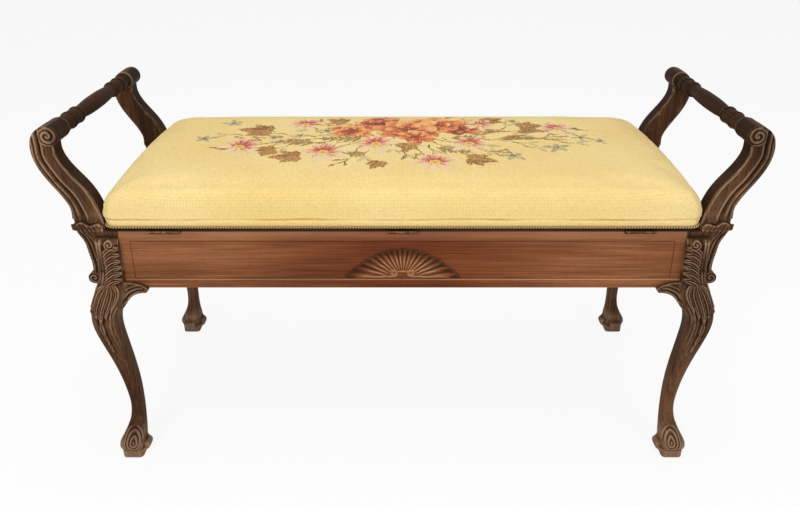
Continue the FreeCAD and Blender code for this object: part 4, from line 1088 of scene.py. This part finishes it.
def filled(points, faces, ring):
    """The cover pressed out by its stuffing, held round its lower edge."""
    obj = placed("cloth", mesh_of("cloth", points, faces))
    held = obj.vertex_groups.new(name="held")
    held.add(list(range(len(points) - HELD_ROWS * ring, len(points))), 1.0, "REPLACE")
    cloth = obj.modifiers.new("cloth", "CLOTH")
    for key, value in CLOTH.items():
        setattr(cloth.settings, key, value)
    cloth.settings.effector_weights.gravity = 0.0
    cloth.point_cache.frame_start = 1
    cloth.point_cache.frame_end = FILL_FRAMES
    for step in range(1, FILL_FRAMES + 1):
        bpy.context.scene.frame_set(step)
    swollen = settled(obj)
    moved = read_points(swollen) - points
    bpy.context.scene.frame_set(1)
    bpy.data.objects.remove(obj)
    far = np.linalg.norm(moved, axis=1)[:, None]
    return points + moved * np.minimum(1.0, FILL_LIMIT / np.maximum(far, 1e-6))


def fold_line(x, y):
    """Whether a point is on a long side, its length along that side and the height of the fold there."""
    long_side = np.abs(x) / LID_X < np.abs(y) / LID_Y
    along = np.where(long_side, x, y + END_SHIFT)
    return long_side, along, FOLD_Z + 1.1 * wobble(along, 330.0, 5)


def tuck(points, normals):
    """The fold over the hem and the drawn wool at the corners."""
    x, y, z = points.T
    long_side, along, fold = fold_line(x, y)
    uneven = 1 + 0.45 * wobble(along, 240.0, 3)
    side = smooth_step(0.75, 0.45, np.abs(normals[:, 2])) * (z > TUCK_Z)
    depth = -FOLD_DEPTH * uneven * ridge(z - fold, FOLD_WIDTH)
    from_corner = np.clip(np.where(long_side, LID_X - np.abs(x), LID_Y - np.abs(y)), 0, None)
    rise = PULL_SLOPE * from_corner - (z - FOLD_Z)
    pulled = np.cos(2 * np.pi * rise / PULL_PITCH + np.sign(x) + 2 * np.sign(y))
    reach = np.exp(-from_corner / PULL_REACH) * smooth_step(FOLD_Z, FOLD_Z + 7, z) * smooth_step(*PULL_END, z)
    depth += PULL_DEPTH * pulled * reach
    soft = 0.25 * wobble(along, 60.0, 8) * smooth_step(FOLD_Z, FOLD_Z + 8, z)
    return points + normals * ((depth + soft) * side)[:, None]


def heading(turn):
    """Cosine and sine of a turn in degrees."""
    return math.cos(math.radians(turn)), math.sin(math.radians(turn))


class Needlework:
    """Wool colours laid stitch by stitch on a flat face, in millimetres."""

    def __init__(self, x, y):
        self.x, self.y = x, y
        self.draw = np.random.default_rng(11)
        self.tone = np.empty((len(x), 3))
        cloud = wobble(x + 0.6 * y, 420.0, 1) + wobble(y - 0.4 * x, 300.0, 2)
        self.tone[:] = np.array(GROUND_WOOL) + cloud[:, None] * np.array(GROUND_DRIFT)
        self.tone[self.draw.random(len(x)) < 0.10] -= GROUND_DARKER

    def local(self, x, y, turn):
        """Stitch places seen from a motif: along and across its own direction."""
        c, s = heading(turn)
        dx, dy = self.x - x, self.y - y
        return dx * c + dy * s, dy * c - dx * s

    def lay(self, where, level, wools):
        """Cover stitches in wools picked by level, 0 for the first."""
        level = level[where] + self.draw.uniform(-0.3, 0.3, where.sum())
        pick = np.clip(np.floor(level), 0, len(wools) - 1).astype(int)
        self.tone[where] = np.array(wools, float)[pick]

    def petal(self, x, y, turn, length, width, wools, shade):
        """Cupped petal, darkest at its base and palest at its rim, worked in long streaks."""
        along, across = self.local(x, y, turn)
        share = along / length
        rounded = np.sqrt(np.clip(1 - ((share - 0.54) / 0.5) ** 2, 0, 1))
        half = 0.5 * width * rounded * (0.7 + 0.4 * share)
        inside = (share > 0.04) & (np.abs(across) < half)
        level = shade + (len(wools) - 0.4) * np.clip(share, 0, 1) ** 1.25
        level += 0.5 * np.sin(2 * np.pi * across / 7.0 + 4 * share)
        level -= 1.3 * (np.abs(across) > half - 2.4) * (share < 0.8)
        self.lay(inside, level, wools)

    def leaf(self, x, y, turn, length, width, wools, bend=0.08):
        """Leaf from its stalk to its tip, notched at the edge, with a pale midrib and veins."""
        along, across = self.local(x, y, turn)
        share = np.clip(along / length, 0, 1)
        across = across - bend * length * np.sin(np.pi * share)
        notch = 1 + 0.3 * ((share * 4.5) % 1.0 - 0.5) * (width > 12.0)
        half = 0.5 * width * np.sin(np.pi * share ** 0.75) ** 0.85 * notch
        inside = (along > 0) & (along < length) & (np.abs(across) < half)
        vein = np.abs((along / 9.0 - np.abs(across) / 7.0) % 1.0 - 0.5) < 0.12
        level = np.where(across > 0, 1.5, 0.6) + 0.5 * np.sin(along / 5.0)
        level = np.where(vein & (width > 12.0) | (np.abs(across) < 1.0), 2.5, level)
        self.lay(inside, level, wools)

    def stem(self, x, y, turn, length, bend, wools):
        along, across = self.local(x, y, turn)
        line = bend * np.sin(np.pi * np.clip(along / length, 0, 1))
        inside = (along > 0) & (along < length) & (np.abs(across - line) < 1.5)
        self.lay(inside, 1.0 + np.sin(along / 4.0), wools)

    def ivy(self, x, y, turn, length, wools):
        """Five-lobed leaf."""
        for swing, reach in ((-78, 0.55), (78, 0.55), (-40, 0.78), (40, 0.78), (0, 1.0)):
            self.leaf(x, y, turn + swing, reach * length, 0.5 * reach * length, wools, 0.03)

    def fern(self, x, y, turn, length, wools):
        """Toothed spray: long fingers that lean towards its tip."""
        self.stem(x, y, turn, length, 0.0, wools)
        c, s = heading(turn)
        for step in range(5):
            at = length * (0.06 + 0.18 * step)
            for side in (-1, 1):
                reach = length * (0.44 - 0.06 * step) * self.draw.uniform(0.85, 1.1)
                self.leaf(x + at * c, y + at * s, turn + side * 46, reach, 7.5, wools, -0.12 * side)

    def star(self, x, y, size, turn):
        """Small grey-green flower of five narrow petals, with a dark eye."""
        for step in range(5):
            reach = size * self.draw.uniform(0.75, 1.15)
            self.leaf(x, y, turn + 72 * step, reach, 0.34 * size, GREY_WOOLS, 0.05)
        self.lay(np.hypot(self.x - x, self.y - y) < 3.4, 0 * self.x, STEM_WOOLS)

    def twig(self, x, y, turn, length):
        """Forked bare twig with a bud at each tip."""
        for swing, reach, bend in ((0, 1.0, 4.0), (34, 0.6, -2.0), (-30, 0.5, 2.0)):
            self.stem(x, y, turn + swing, reach * length, bend, STEM_WOOLS)
            c, s = heading(turn + swing)
            self.leaf(x + reach * length * c, y + reach * length * s, turn + swing, 12, 7, LEAF_BROWN)

    def daisy(self, x, y, size, turn):
        """Open flower: cream petals, a crimson throat on its shaded side and a golden eye."""
        for step in range(8):
            swing = turn + 45 * step + self.draw.uniform(-9, 9)
            shade = 1.3 - 1.6 * math.cos(math.radians(45 * step - 60))
            reach = size * self.draw.uniform(0.8, 1.15)
            self.petal(x, y, swing, reach, 0.4 * size, DAISY_WOOLS, shade)
        radius = np.hypot(self.x - x, self.y - y)
        self.lay(radius < 0.21 * size, 3.2 * radius / (0.21 * size), EYE_WOOLS)

    def peony(self, x, y, size, turn, wools):
        """Full flower: rings of overlapping petals round a dark heart."""
        for ring, (count, reach, wide, shade) in enumerate(PEONY_RINGS):
            for step in range(count):
                swing = turn + 360 * (step + 0.4 * ring) / count + self.draw.uniform(-14, 14)
                length = size * reach * self.draw.uniform(0.8, 1.15)
                tilt = 0.8 * math.cos(math.radians(swing - 70)) + self.draw.uniform(-1.3, 0.5)
                self.petal(x, y, swing, length, wide * size, wools, shade + tilt)


# Rings of a peony from the outside: petals, their length and width as shares of its size, shade
PEONY_RINGS = ((8, 1.0, 0.62, -0.2), (7, 0.82, 0.54, -0.5), (6, 0.64, 0.46, 0.0), (5, 0.45, 0.38, -0.7),
               (4, 0.28, 0.3, -1.4))

# Screen colour of the ground, how far it drifts and how much darker some stitches are
GROUND_WOOL = (249, 224, 151)
GROUND_DRIFT = (2.0, 4.0, 7.0)
GROUND_DARKER = (4, 8, 14)
# Share by which the fold is darkened as painted shade, how much paler the hem below it is, and the spread
# from stitch to stitch
FOLD_PAINTED_SHADE = (0.16, 0.22, 0.34)
HEM_PALER = (6, 5, 4)
STITCH_SPREAD = 2.2
# Screen colours of the motifs' wools, the darkest first
DAISY_WOOLS = ((182, 76, 74), (212, 112, 100), (234, 172, 140), (243, 210, 160), (246, 220, 168))
EYE_WOOLS = ((206, 150, 60), (238, 194, 80), (246, 212, 106))
STEM_WOOLS = ((134, 96, 40), (166, 124, 62))
LEAF_BROWN = ((140, 92, 34), (172, 120, 52), (204, 158, 86))
LEAF_OLIVE = ((126, 96, 34), (158, 124, 54), (194, 162, 90))
GREY_WOOLS = ((140, 134, 94), (176, 168, 122), (214, 200, 148))
PALE_WOOLS = ((190, 170, 104), (212, 192, 128), (230, 210, 148))
CORAL_WOOLS = ((142, 62, 22), (192, 94, 40), (230, 132, 66), (244, 168, 100), (249, 202, 136))
ROSE_WOOLS = ((108, 42, 18), (152, 60, 28), (192, 90, 46), (222, 132, 76), (240, 176, 116))

# Small pale leaves all through the bunch: how many, their middle and their half spread both ways
SPRIGS = 52
SPRIG_MIDDLE = (6, 26)
SPRIG_SPREAD = (330, 100)
GOLDEN_TURN = 137.5

# Worked bunch: where its stems run to, and the place of each motif along and across the seat. Flowers
# then have a size and a turn, peonies a size and their wools, leaves and twigs a turn and a length.
BUNCH_MIDDLE = (10, 50)
PEONIES = ((-92, 66, 42, CORAL_WOOLS), (104, 76, 42, ROSE_WOOLS), (-36, 104, 48, ROSE_WOOLS),
           (62, 98, 50, CORAL_WOOLS), (12, 74, 58, CORAL_WOOLS), (26, 30, 34, CORAL_WOOLS))
DAISIES = ((-285, -22, 42, 0), (-136, -48, 46, 25), (-46, -8, 46, 50), (118, -6, 42, 10), (54, -92, 44, 35),
           (-184, 98, 38, 15), (290, 76, 36, 55), (146, 96, 30, 5))
IVIES = ((-222, -36, 200, 46), (-176, -66, 185, 52), (112, -78, 345, 50), (8, -8, 262, 44),
         (-246, 62, 172, 62), (222, 84, 12, 50), (160, 116, 35, 44), (-38, -90, 245, 34),
         (-110, 112, 150, 44))
FERNS = ((-152, -4, 172, 74), (-66, 20, 182, 84), (84, 18, 8, 70), (58, -26, 340, 66), (-62, -52, 192, 62))
LANCES = ((-296, -26, 178, 44), (176, 14, 2, 84), (212, 50, 6, 74), (-214, 28, 160, 40), (300, 70, 350, 46),
          (-20, 134, 120, 34), (84, 134, 50, 36), (148, 44, 20, 52))
STARS = ((-356, 20, 24, 10), (-322, 106, 26, 30), (-232, 26, 18, 50), (-186, 36, 18, 0), (270, -24, 28, 20),
         (322, 26, 22, 44), (352, 8, 18, 8), (186, -64, 26, 28), (-140, 62, 20, 15), (212, 118, 20, 60))
TWIGS = ((-252, 10, 158, 46), (248, 20, 12, 46), (150, -44, 340, 42), (22, -54, 300, 34), (-90, -78, 225, 34))


def bouquet(work):
    """The worked bunch, laid from the back layers to the front ones."""
    for step in range(SPRIGS):
        turn, spread = GOLDEN_TURN * step, math.sqrt((step + 0.5) / SPRIGS)
        c, s = heading(turn)
        x = SPRIG_MIDDLE[0] + SPRIG_SPREAD[0] * spread * c
        y = SPRIG_MIDDLE[1] + SPRIG_SPREAD[1] * spread * s
        work.stem(x, y, turn + 180, 30, 5.0, LEAF_OLIVE)
        work.leaf(x, y, turn + 35, 34, 9, PALE_WOOLS)
        work.leaf(x, y, turn - 20, 27, 8, LEAF_OLIVE if step % 4 == 0 else PALE_WOOLS)
    for x, y, size, turn in DAISIES:
        dx, dy = BUNCH_MIDDLE[0] - x, BUNCH_MIDDLE[1] - y
        work.stem(x, y, math.degrees(math.atan2(dy, dx)), 0.8 * math.hypot(dy, dx), 9.0, STEM_WOOLS)
    for x, y, turn, length in TWIGS:
        work.twig(x, y, turn, length)
    for x, y, turn, length in LANCES:
        work.leaf(x, y, turn, length, 0.2 * length, LEAF_OLIVE)
        work.leaf(x, y, turn + 24, 0.7 * length, 0.16 * length, LEAF_BROWN)
    for x, y, size, turn in STARS:
        work.star(x, y, size, turn)
    for x, y, turn, length in IVIES:
        work.ivy(x, y, turn, length, LEAF_BROWN)
    for x, y, turn, length in FERNS:
        work.fern(x, y, turn, length, LEAF_OLIVE)
    for step, (x, y, size, wools) in enumerate(PEONIES):
        work.peony(x, y, size, 47 * step, wools)
    for x, y, size, turn in DAISIES:
        work.daisy(x, y, size, turn)


def wool(name):
    """Tent stitches: one small slanted wool oval to each stitch, with painted shade in the holes between."""
    material, tree, shader, place = surface(name, Sheen_Weight=0.06, Sheen_Roughness=0.5)
    tone = add(tree, "Attribute", attribute_name="stitch_tone").outputs["Color"]
    count = add(tree, "UVMap", uv_map="stitches").outputs[0]
    u, v, _ = add(tree, "SeparateXYZ", {0: count}).outputs[:]
    du = math_node(tree, "SUBTRACT", math_node(tree, "FRACT", u), 0.5)
    dv = math_node(tree, "SUBTRACT", math_node(tree, "FRACT", v), 0.5)
    slant = math_node(tree, "POWER", math_node(tree, "ADD", du, dv), 2.0)
    thick = math_node(tree, "POWER", math_node(tree, "SUBTRACT", du, dv), 2.0)
    fall = math_node(tree, "ADD", math_node(tree, "MULTIPLY", slant, 1.3),
                     math_node(tree, "MULTIPLY", thick, 3.2))
    fibre = noise(tree, place, HAIRS, 2.0)
    hairs = math_node(tree, "ADD", 0.7, math_node(tree, "MULTIPLY", fibre, 0.3))
    height = math_node(tree, "SUBTRACT", hairs, fall)
    hole = span(tree, fall, 0.45, 1.25, 0.0, 0.7)
    # Darker copy of the wool: painted shade in the holes, and darker fibres here and there
    shade = mix(tree, 1.0, tone, linear((205, 180, 150)), "MULTIPLY")
    colour = mix(tree, hole, tone, shade)
    colour = mix(tree, span(tree, fibre, 0.35, 0.65, 0.10, 0.0), colour, shade)
    feed(tree, shader, Base_Color=colour, Roughness=span(tree, fibre, 0.3, 0.7, 0.78, 0.95),
         Normal=bump(tree, height, 0.55, 0.0008))
    return material


def paint_seat(mesh):
    """Store the wool colour of each stitch, with painted shade along the fold, on the corners of its face."""
    centres = fetch(mesh.polygons, "center", 3).astype(float) / MM
    work = Needlework(centres[:, 0], centres[:, 1])
    top = (np.abs(centres[:, 0]) < LID_X - TOP_MARGIN) & (np.abs(centres[:, 1]) < LID_Y - TOP_MARGIN)
    plain = work.tone.copy()
    bouquet(work)
    work.tone[~top] = plain[~top]
    _, along, fold = fold_line(*centres[:, :2].T)
    # Painted shade in the crease along the fold, uneven along the sides
    crease_shade = ridge(centres[:, 2] - fold, 1.5) * ~top
    crease_shade *= np.clip(0.45 + 0.8 * wobble(along, 260.0, 9), 0, 1.2)
    work.tone *= 1 - crease_shade[:, None] * np.array(FOLD_PAINTED_SHADE)
    work.tone[~top & (centres[:, 2] < fold - 1.2)] += HEM_PALER
    work.tone += work.draw.normal(0, STITCH_SPREAD, (len(centres), 1))
    tone = linear_values(np.clip(work.tone, 0, 255) / 255)
    sides = fetch(mesh.polygons, "loop_total", 1, np.int32).ravel()
    colours = np.ones((sides.sum(), 4), np.float32)
    colours[:, :3] = np.repeat(tone, sides, axis=0)
    stored = mesh.color_attributes.new("stitch_tone", "FLOAT_COLOR", "CORNER")
    stored.data.foreach_set("color", colours.ravel())


def seat_cover():
    """The cover, filled out, tucked at its hem and worked in wool."""
    points, faces, counts, ring = seat_grid(SLACK)
    points = filled(points, faces, ring)
    mesh = mesh_of("seat_cover_needlework", points, faces)
    layer = mesh.uv_layers.new(name="stitches")
    corners = fetch(mesh.loops, "vertex_index", 1, np.int32).ravel()
    layer.uv.foreach_set("vector", counts[corners].astype(np.float32).ravel())
    mesh = shaped(mesh, "SUBSURF", levels=2, render_levels=2, uv_smooth="NONE")
    write_points(mesh, tuck(read_points(mesh), read_normals(mesh)))
    paint_seat(mesh)
    cover = piece("seat_cover_needlework", mesh, "lid", "needlework", wool("needlework_wool"), "seat_cover")
    return points, faces, ring


def seat_pad(points, faces, ring):
    """Stuffing close under the cover, flat where it rests on the base cloth."""
    mesh = mesh_of("inside", points, faces)
    inner = points - read_normals(mesh) * PAD_UNDER
    bpy.data.meshes.remove(mesh)
    keep = len(points) - HELD_ROWS * ring
    pad_points = inner[:keep].copy()
    pad_faces = [f for f in faces if max(f) < keep]
    pad_points[-ring:, 2] = node_box("seat_stuffing")[0][2] + PAD_LIFT
    pad_faces.append(tuple(range(keep - ring, keep)))
    mesh = mesh_of("seat_stuffing_pad", pad_points, pad_faces)
    close_holes(mesh)
    pad = piece("seat_stuffing_pad", mesh, "lid", "stuffing", STUFFING, "seat_stuffing")


seat_pad(*seat_cover())


# Twisted cord round the hem of the cover

# Line of the hem: out from the lid, height, corner radius, points on each corner, spacing along the cord
HEM_OUT = 4.6
HEM_Z = RAIL_LEVEL + 10.2
HEM_CORNER = 17.0
HEM_CORNER_STEPS = 60
HEM_STEP = 0.5
# Length of one turn of the cord's strands, and their distance from its middle
CORD_LAY = 4.4
CORD_R = 1.0


def hem_line():
    """Points evenly spaced round the lower edge of the cover."""
    half_x, half_y = LID_X + HEM_OUT - HEM_CORNER, LID_Y + HEM_OUT - HEM_CORNER
    quarter = np.linspace(0, np.pi / 2, HEM_CORNER_STEPS)
    line = [(-half_x, -half_y - HEM_CORNER)]
    for corner, (side_x, side_y) in enumerate(((1, -1), (1, 1), (-1, 1), (-1, -1))):
        turn = np.pi / 2 * (corner - 1) + quarter
        line += zip(side_x * half_x + HEM_CORNER * np.cos(turn), side_y * half_y + HEM_CORNER * np.sin(turn))
    line = np.array(line)
    along = run_lengths(line)
    even = np.linspace(0, along[-1], int(along[-1] / HEM_STEP), endpoint=False)
    x, y = (np.interp(even, along, line[:, axis]) for axis in range(2))
    return np.stack([x, y, np.full(len(even), HEM_Z)], -1)


def twisted(line, lay, radius, phase):
    """A strand wound round a closed line."""
    aim = np.roll(line, -1, 0) - np.roll(line, 1, 0)
    aim /= np.linalg.norm(aim, axis=1)[:, None]
    out = np.stack([aim[:, 1], -aim[:, 0], np.zeros(len(aim))], -1)
    along = np.cumsum(np.linalg.norm(line - np.roll(line, 1, 0), axis=1))
    turns = round(along[-1] / lay)
    turn = 2 * np.pi * turns * along / along[-1] + phase
    return line + radius * (np.cos(turn)[:, None] * out + np.sin(turn)[:, None] * np.array([0, 0, 1.0]))


def cord_wool(name, tones):
    material, tree, shader, place = surface(name, Roughness=0.7, Sheen_Weight=0.2)
    fibre = noise(tree, place, FIBRES, 3.0)
    feed(tree, shader, Base_Color=ramp(tree, fibre, [(0.3, tones[0]), (0.7, tones[1])]),
         Normal=bump(tree, fibre, 0.4, 0.0003))
    return material


def hem_cord():
    """Two strands laid round each other along the hem."""
    line = hem_line()
    pale = cord_wool("cord_gold", ((188, 146, 76), (226, 188, 112)))
    dark = cord_wool("cord_olive", ((58, 44, 20), (96, 76, 38)))
    strands = (("gimp_braid_gold", 0.0, 1.0, pale), ("gimp_braid_olive", math.pi, 1.25, dark))
    for name, phase, radius, finish in strands:
        points, faces = tube(twisted(line, CORD_LAY, CORD_R, phase), radius, 6, True)
        mesh = mesh_of(name, points, faces)
        piece(name, mesh, "lid", "braid", finish, "gimp_braid")


hem_cord()


# Sheets and straps inside the lid

WEB_WIDTH = 50.0
WEB_STEPS = 41
# Section of a strap: shares of its width and of its thickness
WEB_SIDE = (-0.5, -0.48, 0.48, 0.5, 0.48, -0.48)
WEB_LEVEL = (0.5, 0.08, 0.08, 0.5, 0.92, 0.92)


def cloth_sheet(name, node, material, slot, cells):
    """A thin sheet of the size of its node, a little puckered along its edge."""
    low, high = node_box(node)
    x, y = np.meshgrid(np.linspace(low[0], high[0], cells[0] + 1),
                       np.linspace(low[1], high[1], cells[1] + 1))
    u = 2 * (x - low[0]) / (high[0] - low[0]) - 1
    v = 2 * (y - low[1]) / (high[1] - low[1]) - 1
    edge = np.minimum(1 - np.abs(u), 1 - np.abs(v))
    z = (low[2] + high[2]) / 2 + 0.12 * np.cos(np.pi * 12 * u) * ridge(edge, 0.05)
    mesh = mesh_of(name, np.stack([x, y, z], -1).reshape(-1, 3), grid_faces(cells[1] + 1, cells[0] + 1))
    sheet = piece(name, mesh, "lid", slot, material, node)


def straps(name, node, along_x, count):
    """Flat woven straps over the lid frame, each a thin closed band."""
    low, high = node_box(node)
    axis = 1 if along_x else 0
    sides = len(WEB_SIDE)
    end = WEB_STEPS * sides
    faces = grid_faces(WEB_STEPS, sides, False, True)
    faces += [tuple(range(sides)), tuple(range(end - 1, end - sides - 1, -1))]
    parts = []
    for at in np.linspace(low[axis] + WEB_WIDTH / 2, high[axis] - WEB_WIDTH / 2, count):
        band = np.empty((WEB_STEPS, sides, 3))
        band[:, :, 1 - axis] = np.linspace(low[1 - axis], high[1 - axis], WEB_STEPS)[:, None]
        band[:, :, axis] = at + WEB_WIDTH * np.array(WEB_SIDE)
        band[:, :, 2] = low[2] + (high[2] - low[2]) * np.array(WEB_LEVEL)
        parts.append((band.reshape(-1, 3), faces))
    mesh = mesh_of(name, *merged(parts))
    close_holes(mesh)
    strap = piece(name, mesh, "lid", "webbing", JUTE, node)


cloth_sheet("lid_lining_cloth", "lid_lining", LINING, "lining", (120, 44))
cloth_sheet("base_cloth_hessian", "base_cloth", HESSIAN, "webbing", (60, 24))
straps("webbing_long_straps", "webbing_long", True, 4)
straps("webbing_cross_straps", "webbing_cross", False, 9)


# Finishes of the nodes that are shown as they are

def finish_node(node, material):
    mesh = NODES[node].data
    mesh.materials.clear()
    mesh.materials.append(material)


HINGES = [kind + place for place in ("left", "centre", "right")
          for kind in ("hinge_leaf_rail_", "hinge_leaf_lid_", "hinge_pin_")]
FINISHES = ((TURNED, ("grip_left", "grip_right")),
            (RAIL_LONG, ("rail_front", "rail_back")),
            (RAIL_END, ("rail_left", "rail_right")),
            (INNER, ("compartment_bottom", "ledger_strips", "corner_blocks", "arm_dowels")),
            (STAINED_SHADED_LID, ("lid_front_member", "lid_back_member", "lid_left_member", "lid_right_member",
                       "lid_crossbar")),
            (BRASS, HINGES),
            (STEEL, ("hinge_screws_rail", "hinge_screws_lid", "corner_block_screws", "lining_tacks")))
for material, nodes in FINISHES:
    for node in nodes:
        finish_node(node, material)


# Camera, light and floor

SENSOR = 36.0
LENS = 31.5
SHIFT_X = -0.0031
SHIFT_Y = -0.1225
CAMERA_PLACE = (0.0, -1.1644, 0.9557)
CAMERA_TILT = 68.55
# Lamps: place, size and power, all aimed at one point
LAMP_AIM = (0.0, 0.0, 0.4)
LAMPS = {"key": ((-0.9, -2.7, 2.1), 1.5, 46.0),
         "fill": ((1.5, -2.4, 1.6), 1.5, 16.0),
         "top": ((0.0, -0.2, 2.9), 1.8, 30.0)}
# Strength of the surround where it is seen and as light, share of the floor that glows, its half width
WORLD_SEEN = 1.0
WORLD_GIVEN = 0.36
FLOOR_GLOW = 0.88
FLOOR_HALF = 9000.0


def camera():
    data = bpy.data.cameras.new("camera")
    data.sensor_width = SENSOR
    data.lens = LENS
    data.shift_x = SHIFT_X
    data.shift_y = SHIFT_Y
    obj = placed("camera", data)
    obj.location = CAMERA_PLACE
    obj.rotation_euler = (math.radians(CAMERA_TILT), 0.0, 0.0)
    bpy.context.scene.camera = obj


def lamp(name, place, size, power):
    data = bpy.data.lights.new(name, "AREA")
    data.shape = "DISK"
    data.size = size
    data.energy = power
    obj = placed(name, data)
    obj.location = place
    obj.rotation_euler = (Vector(LAMP_AIM) - Vector(place)).to_track_quat("-Z", "Y").to_euler()


def pale_world():
    """Even light on the object, and a white surround where it is seen straight or mirrored."""
    world = bpy.data.worlds.new("studio")
    bpy.context.scene.world = world
    world.use_nodes = True
    tree = world.node_tree
    back = tree.nodes["Background"]
    back.inputs["Color"].default_value = (1.0, 1.0, 1.0, 1.0)
    feed(tree, back, Strength=span(tree, seen_straight(tree), 0.0, 1.0, WORLD_GIVEN, WORLD_SEEN))


def seen_straight(tree):
    """1 for camera, gloss and glass rays, 0 for the light that falls on things."""
    path = add(tree, "LightPath").outputs
    mirrored_ray = math_node(tree, "MAXIMUM", path["Is Glossy Ray"], path["Is Transmission Ray"])
    return math_node(tree, "MAXIMUM", path["Is Camera Ray"], mirrored_ray)


def pale_floor():
    """Pale floor that keeps the object's shadow and reads white to the camera."""
    material, tree, shader, place = surface("pale_floor", Roughness=0.9)
    cloud = noise(tree, place, CLOUDS, 2.0)
    feed(tree, shader, Base_Color=ramp(tree, cloud, [(0.3, (247, 247, 246)), (0.7, (250, 250, 249))]))
    glow = add(tree, "Emission", {"Color": (1.0, 1.0, 1.0, 1.0), "Strength": 1.0}).outputs[0]
    share = math_node(tree, "MULTIPLY", seen_straight(tree), FLOOR_GLOW)
    blend = add(tree, "MixShader", {0: share, 1: shader.outputs[0], 2: glow}).outputs[0]
    tree.links.new(blend, tree.nodes["Material Output"].inputs["Surface"])
    corners = [(FLOOR_HALF * x, FLOOR_HALF * y, 0) for x, y in ((-1, -1), (1, -1), (1, 1), (-1, 1))]
    mesh = mesh_of("floor", corners, [(0, 1, 2, 3)])
    mesh.materials.append(material)
    floor = placed("floor", mesh)


camera()
pale_world()
for name, (place, size, power) in LAMPS.items():
    lamp(name, place, size, power)
pale_floor()
bpy.context.scene.view_settings.view_transform = "Standard"
